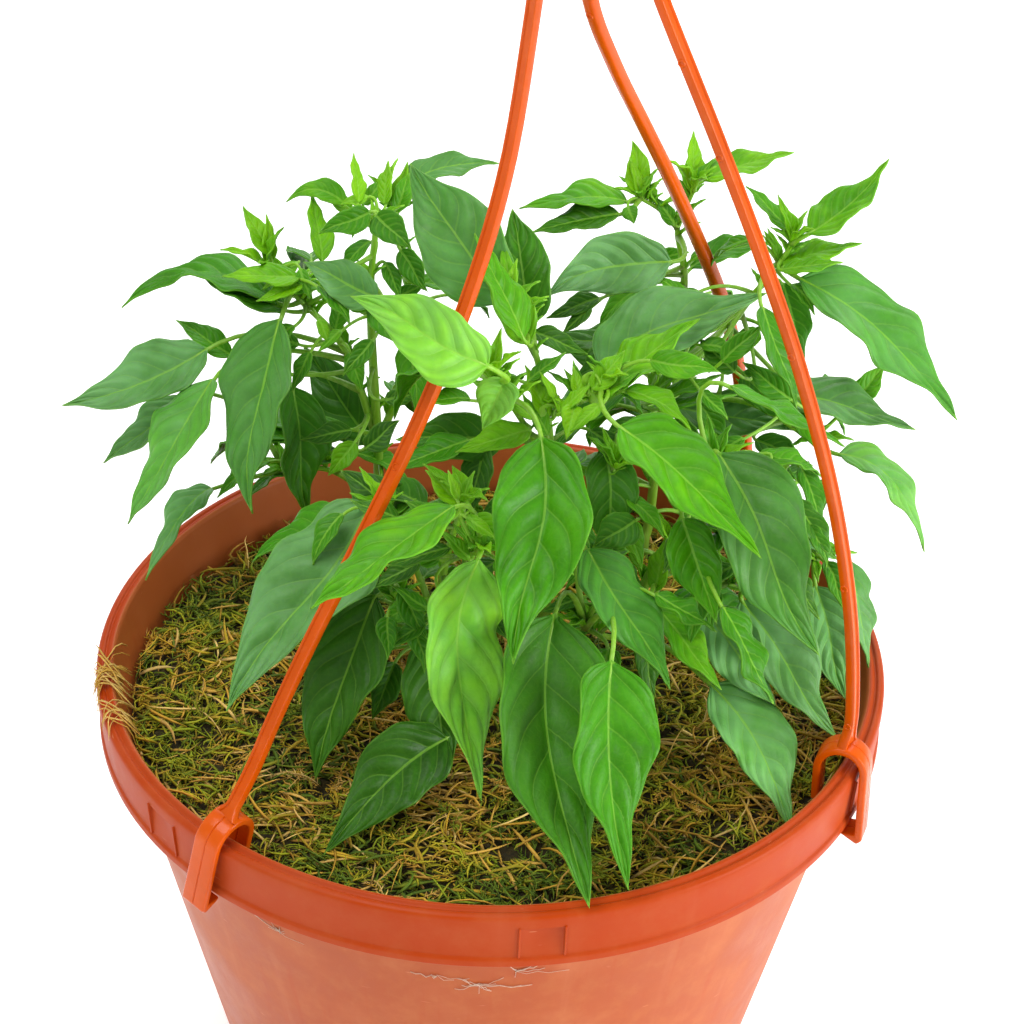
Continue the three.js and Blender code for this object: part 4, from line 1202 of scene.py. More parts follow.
@dataclass
class Bed:
    """The soil's surface and the moss and straw mulch that lies on it."""

    pot: Pot
    soil_edge: float = 142
    mound: float = 8
    depth: float = 5
    relief: float = 1.3
    rings: int = 56
    sides: int = 150
    crumbs: int = 900
    clumps: int = 620
    clump_fibres: int = 11
    straws: int = 1050
    sprigs: int = 2500
    barbs: int = 9
    rim_tufts: tuple[float, ...] = (187, 189, 197)
    tuft_straws: int = 11
    seed: int = 7

    TAPER = (0.7, 1.0, 1.0, 0.8, 0.2)  # width of a fibre along it, as shares
    STRAW_TAPER = (0.6, 1, 1, 1, 1, 0.9, 0.6, 0.2)

    def soil_top(self, radius: float) -> float:
        """Height of the soil at a distance from the pot's middle."""
        edge = self.pot.inside(self.soil_edge)
        return self.soil_edge + self.mound * (1 - (radius / edge) ** 2)

    def mulch_top(self, spot: Vector) -> float:
        """Height of the mulch's tufted surface over a place."""
        x, y = spot.x, spot.y
        coarse = sin(x / 7.1 + 0.8) * cos(y / 8.3 - 0.4)
        fine = sin((x + 1.7 * y) / 5.2) * sin((1.4 * x - y) / 6.1)
        tufts = self.relief * (0.6 * coarse + 0.4 * fine)
        return self.soil_top(hypot(x, y)) + self.depth + tufts

    def ground(self, spot: Vector) -> float:
        """Height of the crumbly ground that shows between the fibres."""
        flat = Vector((spot.x, spot.y, 0))
        lumps = noise.noise(flat / 9) * 1.3 + noise.noise(flat / 2.6) * 0.9
        return self.mulch_top(spot) - 1.9 + lumps

    def heap(self, spot: Vector) -> float:
        """How far moss is heaped up over a place."""
        return max(0.0, noise.noise(spot / 13 + Vector((9, 4, 0)))) * 3.2

    def kind(self, spot: Vector, mean: float, stray: float) -> float:
        """Colour of a fibre at a place, from 0 moss to 1 straw."""
        return min(1, max(0, noise.noise(spot / 28) * 0.9 + mean + stray))

    def random_spot(self, draws: random.Random, share: float = 1.0) -> Vector:
        """A level place anywhere on the mulch, within a share of its radius."""
        return polar(self.edge() * sqrt(draws.random()) * share, draws.uniform(0, 360))

    def edge(self) -> float:
        """How far the mulch reaches."""
        return self.pot.inside(self.soil_edge + self.depth) - 2 * GAP

    def build_ground(self) -> Item:
        """A crumbly sheet with loose crumbs on it."""
        points = [Vector()]
        for ring in range(1, self.rings + 1):
            radius = self.edge() * ring / self.rings
            points += [polar(radius, 360 * i / self.sides) for i in range(self.sides)]
        for point in points:
            point.z = self.ground(point)
        faces = [(0, 1 + i, 1 + (i + 1) % self.sides) for i in range(self.sides)]
        for ring in range(self.rings - 1):
            first = 1 + ring * self.sides
            for i in range(self.sides):
                j = (i + 1) % self.sides
                faces.append((first + i, first + self.sides + i, first + self.sides + j, first + j))
        sheet = mesh_object("mulch_ground", points, faces)
        apply_modifier(sheet, "SOLIDIFY", thickness=2.2 * MM, offset=-1)
        ground = join("mulch_ground", [self.build_crumbs(), sheet])
        shade(ground)
        return ground

    def build_crumbs(self) -> Item:
        """Loose crumbs of soil: one dented ball, copied at many sizes and turns."""
        bpy.ops.mesh.primitive_ico_sphere_add(subdivisions=1, radius=1)
        ball = taken("crumb")
        shape = [vertex.co.copy() for vertex in ball.data.vertices]
        sides = [tuple(polygon.vertices) for polygon in ball.data.polygons]
        bpy.data.objects.remove(ball)
        draws = random.Random(self.seed)
        points, faces = [], []
        for _ in range(self.crumbs):
            middle = self.random_spot(draws, 0.985)
            middle.z = self.ground(middle) + 0.2
            size = draws.uniform(0.5, 1.0) ** 2 * 1.9
            turn = Vector((draws.random(), draws.random(), draws.random())) * 9
            first = len(points)
            for corner in shape:
                dent = 1 + 0.45 * noise.noise(corner * 1.7 + turn)
                points.append(middle + corner * (size * dent))
            faces += [tuple(first + number for number in side) for side in sides]
        return mesh_object("crumbs", points, faces)

    def fibre(self, draft: Draft, draws: random.Random, start: Vector, bearing: float,
              rise: float, length: float, radius: float, curl: float, kind: float) -> None:
        """Adds one curled fibre.

        Args:
            draft: the mesh that it is added to.
            draws: random numbers.
            start: where it starts.
            bearing: the way it sets out, in degrees.
            rise: how steeply, in degrees.
            length: its length.
            radius: half its width.
            curl: how far it turns over its length, in degrees.
            kind: its colour, from 0 moss to 1 straw.
        """
        steps = len(self.TAPER) - 1
        line, point = [], start
        for k in range(steps + 1):
            share = k / steps
            line.append(point)
            ahead = heading(bearing + curl * share, rise * (1 - 1.6 * share))
            point = point + ahead * (length / steps)
        limit = self.edge() - 0.5
        for spot in line:
            reach = hypot(spot.x, spot.y)
            if reach > limit:
                spot.x, spot.y = spot.x * limit / reach, spot.y * limit / reach
            spot.z = max(spot.z, self.ground(spot) - 0.4)
        widths = [radius * share for share in self.TAPER]
        shade = draws.uniform(0.75, 1.4)
        marks = [(kind, k / steps, shade) for k in range(steps + 1)]
        draft.tube(line, widths, 3, marks, flat=0.55)

    def build_moss(self) -> Item:
        """Clumps of curly moss."""
        draws = random.Random(self.seed + 1)
        draft = Draft()
        for k in range(self.clumps):
            middle = polar(self.edge() * sqrt((k + 0.5) / self.clumps), k * (360 * GOLDEN))
            middle += Vector((draws.uniform(-4, 4), draws.uniform(-4, 4), 0))
            bearing = draws.uniform(0, 360)
            for _ in range(self.clump_fibres):
                spot = middle + Vector((draws.gauss(0, 3.2), draws.gauss(0, 3.2), 0))
                reach = hypot(spot.x, spot.y)
                if reach > self.edge():
                    spot *= self.edge() / reach
                spot.z = self.mulch_top(spot) + draws.uniform(-2.2, 0.8 + self.heap(middle))
                self.fibre(draft, draws, spot, bearing + draws.gauss(0, 50), draws.uniform(-15, 45),
                           draws.uniform(5, 13), draws.uniform(0.34, 0.68),
                           draws.uniform(-150, 150), self.kind(middle, 0.38, draws.gauss(0, 0.17)))
        return draft.made("mulch_moss", "fibre")

    def build_sprigs(self) -> Item:
        """Feathery moss: curved twigs with short pointed barbs on both sides."""
        draws = random.Random(self.seed + 3)
        draft = Draft()
        for _ in range(self.sprigs):
            spot = self.random_spot(draws, 0.99)
            if noise.noise(spot / 16 + Vector((2, 7, 0))) < -0.22 and draws.random() < 0.75:
                continue
            spot.z = self.mulch_top(spot) + draws.uniform(-0.6, 1.4 + self.heap(spot))
            kind = self.kind(spot, 0.42, draws.gauss(0, 0.13))
            bearing, rise = draws.uniform(0, 360), draws.uniform(-15, 35)
            curl, length = draws.uniform(-80, 80), draws.uniform(5, 12)
            self.fibre(draft, draws, spot, bearing, rise, length, 0.3, curl, kind)
            point, shade = spot, draws.uniform(0.8, 1.5)
            for k in range(self.barbs):
                share = (k + 1) / (self.barbs + 1)
                way = bearing + curl * share
                point = point + heading(way, rise * (1 - 1.6 * share)) * (length / self.barbs)
                out = heading(way + (48 if k % 2 else -48) + draws.gauss(0, 16),
                              draws.uniform(-5, 50))
                self.barb(draft, point, out * draws.uniform(1.6, 4.0) * (1.15 - 0.6 * share),
                          draws.uniform(0.22, 0.36), (kind, 0.3 + share, shade))
        return draft.made("mulch_sprigs", "fibre")

    def barb(self, draft: Draft, foot: Vector, reach: Vector, radius: float,
             mark: Triple) -> None:
        """Adds one pointed barb with three sides.

        Args:
            draft: the mesh that it is added to.
            foot: where it starts.
            reach: from its foot to its point.
            radius: half its width at the foot.
            mark: what its corners carry.
        """
        side = unit(reach.cross(Vector((0.1, 0.2, 1))))
        up = unit(side.cross(reach))
        corners = [side, side * -0.6 + up * 0.8, side * -0.6 - up * 0.8]
        draft.solid([foot + corner * radius for corner in corners] + [foot + reach],
                    ((0, 1, 3), (1, 2, 3), (2, 0, 3), (2, 1, 0)), mark)

    def build_straws(self) -> Item:
        """Loose straws over the moss, and the ones that hang over the rim."""
        draws = random.Random(self.seed + 2)
        draft = Draft()
        for _ in range(self.straws):
            spot = self.random_spot(draws)
            spot.z = self.mulch_top(spot) + draws.uniform(-0.4, 2.2)
            self.fibre(draft, draws, spot, draws.uniform(0, 360), draws.uniform(-5, 26),
                       draws.uniform(6, 21), draws.uniform(0.3, 0.72), draws.uniform(-60, 60),
                       draws.uniform(0.55, 1.0))
        for angle in self.rim_tufts:
            self.rim_tuft(draft, draws, angle)
        return draft.made("mulch_straws", "fibre")

    def rim_tuft(self, draft: Draft, draws: random.Random, angle: float) -> None:
        """Adds straws that hang over the pot's rim at an angle.

        Args:
            draft: the mesh that they are added to.
            draws: random numbers.
            angle: where on the rim, in degrees.
        """
        rim, top = self.pot.rim, self.pot.height
        last = len(self.STRAW_TAPER) - 1
        for _ in range(self.tuft_straws):
            own = angle + draws.gauss(0, 1.5)
            drift = draws.gauss(0, 3.4)
            reach, lift = draws.uniform(-2.5, 2.5), draws.uniform(0.5, 4.5)
            ends = [polar(rim - 9 + reach, own - drift, top - 6 + 0.6 * lift),
                    polar(rim - 6.2, own - 0.6 * drift, top + 0.4 * lift),
                    polar(rim - 2.5, own, top + lift),
                    polar(rim - draws.uniform(0, 1), own + 0.5 * drift, top + 0.8 + lift * 0.3),
                    polar(rim + draws.uniform(0.2, 1.4), own + drift, top - draws.uniform(0, 5))]
            line = [spline(ends, k / last) for k in range(last + 1)]
            radius = draws.uniform(0.2, 0.42)
            widths = [radius * share for share in self.STRAW_TAPER]
            kind, shade = draws.uniform(0.75, 1), draws.uniform(0.9, 1.15)
            draft.tube(line, widths, 3, [(kind, 1, shade)] * len(line), flat=0.6)

    def dress(self) -> None:
        """Makes the ground, the moss and the straws with their finishes, and gives the CAD soil
        its own."""
        ground = CrumblySoil("mulch_ground", (26, 22, 8), (60, 50, 16), (104, 88, 34)).material()
        hand_over(self.build_ground(), Slot.MULCH, [ground], "moss_mulch")
        fibre = DryFibre().material()
        for build in (self.build_moss, self.build_sprigs, self.build_straws):
            hand_over(build(), Slot.MULCH, [fibre], "moss_mulch")
        soil = frame["nodes"]["potting_soil"]
        soil.data.materials.clear()
        soil.data.materials.append(CrumblySoil("potting_soil").material())
        LOG.info("potting_soil: the packed solid, with its own finish")


# ---------- the view that the basket is seen from ----------


@dataclass(frozen=True)
class Viewpoint:
    """Where the basket is seen from: millimetres, degrees, and steps of a square view."""

    eye: Triple = (3, -952, 895)
    pitch: float = 35.31
    yaw: float = 0.15
    roll: float = 1.47
    focal: float = 3774
    frame: float = 1024

    def axes(self) -> Axes:
        """The view's own directions: ahead, right and up."""
        pitch, yaw, roll = (radians(a) for a in (self.pitch, self.yaw, self.roll))
        ahead = Vector((sin(yaw) * cos(pitch), cos(yaw) * cos(pitch),
                        -sin(pitch)))
        level = Vector((cos(yaw), -sin(yaw), 0))
        upright = level.cross(ahead)
        right = level * cos(roll) + upright * sin(roll)
        up = upright * cos(roll) - level * sin(roll)
        return ahead, right, up

    def sight(self, place: Sequence[float]) -> Vector:
        """Direction of a sight line, one long when measured straight ahead."""
        ahead, right, up = self.axes()
        return (ahead + right * ((place[0] - self.frame / 2) / self.focal)
                - up * ((place[1] - self.frame / 2) / self.focal))

    def seen_at(self, place: Sequence[float], distance: float) -> Vector:
        """The point seen at a place, at a distance measured straight ahead."""
        return Vector(self.eye) + self.sight(place) * distance

    def distance_to(self, place: Sequence[float], depth: float) -> float:
        """Distance, straight ahead, of what is seen at a place with the given Y."""
        return (depth - self.eye[1]) / self.sight(place).y

    def point(self, place: Triple) -> Vector:
        """The point seen at [right, down] with the given Y."""
        return self.seen_at(place[:2], self.distance_to(place[:2], place[2]))


VIEW = Viewpoint()


# ---------- leaves ----------


@dataclass
class Blade:
    """A leaf blade in space: a bent middle line, a width and an upper side."""

    start: Vector
    bend: Vector
    end: Vector
    width: float
    upper: Vector
    fold: float = radians(12)
    wave: float = 0.0
    twist: float = 0.0
    tone: float = 0.5
    own: float = 0.0
    # strength of the pale painted sheen, a painted reflection of the sky
    painted_sheen: float = 0.0

    OUTLINE = (0.62, 1.12)
    WAVES = 2.2
    WAVE_LAG = 0.35
    DRAWN_TIP = 0.3  # how much narrower than its outline the blade is near its tip
    UNEVEN = 0.085  # how far each margin strays from the outline, as a share
    SWAY = 0.035  # how far the rib swings to the side, as a share of the length
    FOLD_GAIN = 1.45  # a real blade folds more at its base than the solid's does
    WAVE_GAIN = 1.6

    @property
    def length(self) -> float:
        """Distance from base to tip."""
        return (self.end - self.start).length

    def outline(self, t: float) -> float:
        """Half width at t, as a share of the widest."""
        rise, fall = self.OUTLINE
        peak = rise / (rise + fall)
        return (t**rise * (1 - t) ** fall) / (peak**rise * (1 - peak) ** fall)

    def half_width(self, t: float, right: bool) -> float:
        """Half width of one side at t, with its drawn-out tip and uneven margin.

        Args:
            t: share of the way from base to tip.
            right: whether it is the right side.
        Returns:
            The half width.
        """
        drawn = 1 - self.DRAWN_TIP * smooth(0.5, 0.93, t)
        lag = 0.45 if right else 0.0
        stray = sin(2 * pi * (1.3 * t + 2.6 * self.own + lag))
        fine = 0.35 * sin(2 * pi * (3.7 * t + 5.1 * self.own + 2 * lag))
        uneven = 1 + self.UNEVEN * (stray + fine) * smooth(0, 0.2, t)
        return self.width / 2 * self.outline(t) * drawn * uneven * smooth(-0.03, 0.07, t)

    def rib(self, t: float) -> Vector:
        """Point on the middle line, from 0 at the base to 1 at the tip."""
        line = self.start * (1 - t) ** 2 + self.bend * (2 * t * (1 - t)) + self.end * t**2
        level = unit((self.end - self.start).cross(self.upper))
        swing = self.SWAY * self.length * (2 * ((self.own * 7.3) % 1) - 1)
        return line + level * (swing * sin(2 * pi * t) * (0.4 + 0.6 * t))

    def axes(self, t: float) -> Axes:
        """Directions at t: along the blade, to its side and out of its upper side."""
        along = unit((self.bend - self.start) * (1 - t) + (self.end - self.bend) * t)
        level = unit(along.cross(self.upper))
        out = level.cross(along)
        turn = self.twist * (t - 0.3)
        return (along, level * cos(turn) + out * sin(turn),
                out * cos(turn) - level * sin(turn))

    def surface(self, t: float, e: float, finish: LeafFinish) -> tuple[Vector, float]:
        """A point of the blade's surface.

        Args:
            t: share of the way from base to tip.
            e: place across, from -1 to 1.
            finish: the vein pattern that domes the panels between the veins.
        Returns:
            The point, and the half width there.
        """
        _, side, out = self.axes(t)
        half = self.half_width(t, e > 0)
        lag = self.WAVE_LAG if e > 0 else 0.0
        body = 4 * t * (1 - t)
        turn = 2 * pi * (self.WAVES * t + lag + 0.22 * self.own)
        ripple = self.WAVE_GAIN * self.wave * e * e * sin(turn) * body
        ruffle = 0.009 * self.length * abs(e) ** 3 * body * sin(
            2 * pi * (5.3 * t + self.own + (0.4 if e > 0 else 0)))
        dome = 0.046 * self.width * body * finish.doming(t, e, self.own)
        trough = -0.35 * exp(-((e * half / 0.9) ** 2)) * min(1, self.width / 24)
        fold = self.fold * self.FOLD_GAIN * (1.15 - 0.5 * t)
        lift = abs(e) * half * sin(fold) + ripple + ruffle + dome + trough
        return self.rib(t) + side * (e * half * cos(fold)) + out * lift, half


@dataclass(frozen=True)
class Leaf:
    """A placed leaf: where its base and tip are seen, its seen width and its depth.

    Depth is its base's Y, tone runs from 0 old to 1 young, and lean brings its tip nearer, in
    degrees. Its rib passes via a seen place, or is arched by a share of its length. Fold and
    twist are in degrees, wave is a share of its length, and the last field is how strong the
    pale painted sheen, a painted reflection of the sky, is on it.
    """

    base: Pair
    tip: Pair
    across: float
    depth: float
    tone: float = 0.5
    lean: float = 0.0
    arch: float = 0.1
    fold: float = 14
    wave: float = 0.02
    via: Pair | None = None
    twist: float = 0.0
    # strength of the pale painted sheen, a painted reflection of the sky
    painted_sheen: float = 0.0

    BREADTH = 0.44

    def blade(self, own: float) -> Blade:
        """The blade in space, at its real size.

        Args:
            own: the leaf's own number, which sets its waves and its margin.
        Returns:
            The blade.
        """
        near = VIEW.distance_to(self.base, self.depth)
        start = VIEW.seen_at(self.base, near)
        flat = (VIEW.seen_at(self.tip, near) - start).length
        far = near - flat * tan(radians(self.lean))
        end = VIEW.seen_at(self.tip, far)
        length = (end - start).length
        axis = (end - start) / length
        middle = (start + end) / 2
        facing = square_to(unit(Vector(VIEW.eye) - middle), axis)
        side = axis.cross(facing)
        seen_width = self.across * near / VIEW.focal
        width = max(length * self.BREADTH, seen_width)
        roll = acos(min(1.0, seen_width / width))
        sides = [facing * cos(turn) + side * sin(turn) for turn in (roll, -roll)]
        upper = sides[0] if sides[0].z >= sides[1].z else sides[1]
        crest = (VIEW.seen_at(self.via, (near + far) / 2) if self.via
                 else middle + facing * (self.arch * length))
        return Blade(start, crest * 2 - middle, end, width, upper,
                     radians(self.fold) * cos(roll), self.wave * length,
                     radians(self.twist), self.tone, own, self.painted_sheen)


def small_leaves(*rows: tuple[float, ...]) -> tuple[Leaf, ...]:
    """Leaves from rows of numbers: base, tip, and then as the fields of Leaf run."""
    return tuple(Leaf(row[:2], row[2:4], *row[4:]) for row in rows)


@dataclass(frozen=True)
class Stem:
    """A stem through places in the view, each [right, down, depth]; thick at foot and end."""

    thick: Pair
    through: tuple[Triple, ...]
    rooted: bool = False


@dataclass(frozen=True)
class Bud:
    """A flower bud that nods on a curled stalk, placed as [right, down, depth]."""

    at: Triple
    bearing: float
    reach: float = 9

    THICK = (0.5, 0.45, 0.45, 0.5, 0.55, 0.65, 1.25, 1.75, 1.85, 1.5, 0.9, 0.2)

    def add_to(self, draft: Draft) -> None:
        """Adds the stalk and the bud as one tapered tube.

        Args:
            draft: the mesh that they are added to.
        """
        point = VIEW.point(self.at)
        line = []
        for k in range(len(self.THICK)):
            line.append(point)
            rise = 80 - 150 * min(1, k / 5)
            point = point + heading(self.bearing, rise) * (self.reach / 5 if k < 5 else 0.95)
        draft.tube(line, self.THICK, 9, [(0.1, 0, 0)] * len(line))


@dataclass(frozen=True)
class InnerLeaves:
    """Leaves that fill a plant's inner and far side, set by rule along its stems."""

    count: int
    seed: int
    stems: tuple[int, ...]
    bearing: Pair
    share: Pair
    length: Pair
    tone: float = 0.3

    RISE = 25
    ARCH = 0.12

    def blades(self, lines: Sequence["StemLine"]) -> list[Blade]:
        """The blades, from the same draws as the solids' ones.

        Args:
            lines: the plant's stems in space.
        Returns:
            The blades.
        """
        draws = numbers_from(self.seed)
        made = []
        for k in range(self.count):
            height, swing, reach, size, droop = (next(draws) for _ in range(5))
            node = lines[self.stems[k % len(self.stems)]].point(between(self.share, height))
            bearing = between(self.bearing, (k * GOLDEN + 0.15 * swing) % 1)
            start = node + heading(bearing, self.RISE) * (10 + 10 * reach)
            length = between(self.length, size)
            out = heading(bearing + 24 * (height - 0.5), -(18 + 34 * droop))
            end = start + out * length
            upper = square_to(UP, out)
            bend = (start + end) / 2 + upper * (2 * self.ARCH * length)
            made.append(Blade(start, bend, end, Leaf.BREADTH * length, upper,
                              radians(12), 0.02 * length, 0.0,
                              self.tone + 0.25 * size, swing))
        return made


@dataclass
class StemLine:
    """A stem's middle line in space."""

    stem: Stem
    points: list[Vector]

    STARTS = 24  # places along a stem where a stalk may start

    def point(self, share: float) -> Vector:
        """Point at a share of the way along."""
        return spline(self.points, share)

    def starts(self) -> list[Vector]:
        """The places where a stalk may start."""
        first = 0.35 if self.stem.rooted else 0.1
        return [self.point(first + (1 - first) * k / self.STARTS) for k in range(self.STARTS + 1)]


@dataclass
class BladePattern:
    """A flat sheet of cells with closed ends, which each blade is a bent copy of."""

    columns: int
    rows: int
    item: Item | None = None

    def made(self) -> Item:
        """The pattern, made once: a grid with each end gathered into one point."""
        if self.item is None:
            bpy.ops.object.select_all(action="DESELECT")
            bpy.ops.mesh.primitive_grid_add(x_subdivisions=self.columns, y_subdivisions=self.rows,
                                            size=2)
            self.item = taken(f"blade_pattern_{self.columns}")
            for end in (-1, 1):
                edit(self.item, lambda: bpy.ops.mesh.select_all(action="DESELECT"))
                for vertex in self.item.data.vertices:
                    vertex.select = abs(vertex.co.y - end) < 1e-4
                select_only(self.item)
                bpy.ops.object.mode_set(mode="EDIT")
                bpy.ops.mesh.merge(type="CENTER")
                bpy.ops.object.mode_set(mode="OBJECT")
        return self.item

    def bent(self, blade: Blade, finish: LeafFinish) -> Item:
        """A copy of the pattern, bent to a blade.

        Args:
            blade: the blade to follow.
            finish: the vein pattern that its mesh carries.
        Returns:
            The bent copy.
        """
        pattern = self.made()
        item = pattern.copy()
        item.data = pattern.data.copy()
        bpy.context.collection.objects.link(item)
        places, blades, leaves, painted_sheens = [], [], [], []
        for vertex in pattern.data.vertices:
            e, t = vertex.co.x, (vertex.co.y + 1) / 2
            point, half = blade.surface(t, e, finish)
            places += [number * MM for number in point]
            blades.append((e, t, half))
            leaves.append((blade.tone, blade.length, blade.own))
            # the painted sheen's strength, which the material lays over as a painted reflection of
            # the sky
            painted_sheens.append((blade.painted_sheen, 0, 0))
        item.data.vertices.foreach_set("co", places)
        mark_points(item, "blade", blades)
        mark_points(item, "leaf", leaves)
        mark_points(item, "painted_sheen", painted_sheens)
        return item

    def remove(self) -> None:
        """Takes the pattern itself away."""
        if self.item is not None:
            bpy.data.objects.remove(self.item)
            self.item = None


@dataclass
class Foliage:
    """What all the plants share: their finishes and how finely blades and stems are made."""

    large: BladePattern = field(default_factory=lambda: BladePattern(16, 40))
    small: BladePattern = field(default_factory=lambda: BladePattern(10, 22))
    tiny: BladePattern = field(default_factory=lambda: BladePattern(4, 8))
    large_from: float = 34
    small_from: float = 13
    thickness: float = 0.5
    finish: LeafFinish = field(default_factory=LeafFinish)
    stem_finish: StemFinish = field(default_factory=StemFinish)

    def __post_init__(self) -> None:
        """Makes the materials that the plants share."""
        self.skins = [self.finish.material(under=False), self.finish.material(under=True)]
        self.bark = self.stem_finish.material()

    def pattern_for(self, blade: Blade) -> BladePattern:
        """The pattern with cells as fine as a blade needs."""
        if blade.length > self.large_from:
            return self.large
        return self.small if blade.length > self.small_from else self.tiny

    def remove_patterns(self) -> None:
        """Takes the patterns away once every blade is made."""
        for pattern in (self.large, self.small, self.tiny):
            pattern.remove()


@dataclass
class Plant:
    """One chilli plant: its stems, its leaves, and the small shoots at its joints."""

    name: str
    foot: Pair
    stems: tuple[Stem, ...]
    leaves: tuple[Leaf, ...]
    inner: InnerLeaves
    extra: tuple[Leaf, ...]  # smaller leaves, which the solids leave out
    fill: InnerLeaves
    buds: tuple[Bud, ...] = ()

    PETIOLE = (2.0, 1.4)
    SLENDER = 0.86  # a real stem against the solid's plain round one
    HOLE_DEPTH = 22
    SHOOT = (6.0, 17.0)

    def lines(self, bed: Bed) -> list[StemLine]:
        """The middle lines of the stems; a rooted one starts in its hole in the soil.

        Args:
            bed: the soil that the rooted stems stand in.
        Returns:
            The stems in space.
        """
        made = []
        for stem in self.stems:
            points = [VIEW.point(place) for place in stem.through]
            if stem.rooted:
                x, y = self.foot
                ground = bed.soil_top(hypot(x, y))
                points[:0] = [Vector((x, y, ground - self.HOLE_DEPTH + GAP)),
                              Vector((x, y, ground + 2 * bed.depth))]
            made.append(StemLine(stem, points))
        return made

    def stalk_start(self, lines: Sequence[StemLine], start: Vector) -> Vector:
        """Where a leaf's stalk leaves the stems: the nearest place, rather below than above."""
        places = [place for line in lines for place in line.starts()]
        return min(places, key=lambda place: (
            (place - start).length + 0.8 * max(0.0, place.z - start.z)))

    def blades(self, lines: Sequence[StemLine]) -> list[Blade]:
        """The placed leaves and the inner ones."""
        placed = [leaf.blade(own=(k * 0.37) % 1)
                  for k, leaf in enumerate(self.leaves + self.extra)]
        return placed + self.inner.blades(lines) + self.fill.blades(lines)

    def shoots(self, lines: Sequence[StemLine], blades: Sequence[Blade],
               draws: random.Random) -> list[Blade]:
        """Small young blades at the ends of the stems and in the joints of the large leaves.

        Args:
            lines: the stems in space.
            blades: the large leaves.
            draws: random numbers.
        Returns:
            The young blades.
        """
        places = [(line.point(1.0), unit(line.point(1.0) - line.point(0.9)), 5)
                  for line in lines]
        places += [(line.point(share), UP, 2)
                   for line in lines for share in (0.55, 0.7, 0.85)]
        places += [(self.stalk_start(lines, blade.start), UP, 2)
                   for blade in blades if blade.length > 30]
        made = []
        for place, up, count in places:
            for k in range(count):
                bearing = 137.5 * k + draws.uniform(-25, 25)
                away = heading(bearing, draws.uniform(5, 35))
                out = unit(up * draws.uniform(0.5, 1.0) + away)
                length = draws.uniform(*self.SHOOT) * (1.0 if count > 2 else 0.75)
                start = place + out * 0.6
                end = start + out * length
                upper = square_to(UP - out * 0.2 + away * 0.2, out)
                bend = (start + end) / 2 + upper * (0.16 * length)
                made.append(Blade(start, bend, end, length * 0.34, upper, radians(22),
                                  0.03 * length, 0.0, draws.uniform(0.75, 1.0), draws.random()))
        return made

    def stalk(self, draft: Draft, lines: Sequence[StemLine], blade: Blade, joint: float) -> None:
        """Adds a leaf's stalk, which runs on under the blade as its midrib.

        Args:
            draft: the mesh that it is added to.
            lines: the stems in space.
            blade: the leaf's blade.
            joint: how dark the stalk is where it leaves the stem.
        """
        start = self.stalk_start(lines, blade.start)
        along, _, out = blade.axes(0)
        reach = (start - blade.start).length
        before = blade.start - along * (0.45 * reach)
        root = blade.rib(0.06) - out * 0.35
        size = min(1.0, 0.55 + blade.length / 90)
        thick = tuple(width / 2 * size for width in self.PETIOLE)
        line, radii = [], []
        steps = 7
        for k in range(steps + 1):
            t = k / steps
            line.append(start * (1 - t) ** 2 + before * (2 * t * (1 - t)) + root * t**2)
            radii.append(between(thick, t) * (1 + 0.35 * max(0, 1 - 5 * t)))
        for t in (0.14, 0.26, 0.4, 0.56, 0.72, 0.88):
            _, _, out = blade.axes(t)
            radius = thick[1] * (1 - t) ** 0.8 * 0.8
            line.append(blade.rib(t) - out * (0.45 + 0.25 * radius))
            radii.append(max(radius, 0.12))
        age = 0.45 * (1 - blade.tone)
        marks = [(age, joint * max(0, 1 - 4 * k / steps), 0) for k in range(len(line))]
        draft.tube(line, radii, 7, marks, flat=0.9, across=blade.axes(0)[1])

    def build_stems(self, lines: Sequence[StemLine], blades: Sequence[Blade]) -> Item:
        """The stems and the stalks of the leaves.

        Args:
            lines: the stems in space.
            blades: the leaves that have a stalk.
        Returns:
            The piece.
        """
        draft = Draft()
        for line in lines:
            foot, end = line.stem.thick
            steps = 10 * (len(line.points) - 1)
            middle = [line.point(k / steps) for k in range(steps + 1)]
            middle[-1] = middle[-1] + (middle[-1] - middle[-2]) * 0.3
            radii = [between((foot, end), k / steps) / 2 * self.SLENDER for k in range(steps + 1)]
            radii[-1] *= 0.5
            marks = []
            for k in range(steps + 1):
                age = (1 - k / steps) ** 1.5 if line.stem.rooted else 0.35 * (1 - k / steps)
                marks.append((age, 0.9 * max(0, 1 - k / 3) if not line.stem.rooted else 0, 0))
            draft.tube(middle, radii, 10, marks, ridges=0.05)
        for blade in blades:
            self.stalk(draft, lines, blade, 0.55 if blade.tone < 0.8 else 0.15)
        for bud in self.buds:
            bud.add_to(draft)
        return draft.made(self.name + "_stems", "stem")

    def build_leaves(self, foliage: Foliage, blades: Sequence[Blade]) -> Item:
        """Bends a copy of a pattern to each blade, joins them and gives them thickness.

        Args:
            foliage: the patterns and finishes.
            blades: every blade of the plant.
        Returns:
            The piece.
        """
        items = [foliage.pattern_for(blade).bent(blade, foliage.finish) for blade in blades]
        leaves = join(self.name + "_leaves", items)
        apply_modifier(leaves, "SOLIDIFY", thickness=foliage.thickness * MM, offset=0,
                       material_offset=1)
        shade(leaves)
        return leaves

    def build(self, bed: Bed, foliage: Foliage, draws: random.Random) -> None:
        """Makes and dresses the plant's pieces.

        Args:
            bed: the soil and mulch.
            foliage: what the plants share.
            draws: random numbers.
        """
        lines = self.lines(bed)
        blades = self.blades(lines)
        stems = self.build_stems(lines, blades)
        leaves = self.build_leaves(foliage, blades + self.shoots(lines, blades, draws))
        hand_over(stems, Slot.LEAF, [foliage.bark], self.name)
        hand_over(leaves, Slot.LEAF, foliage.skins, self.name)
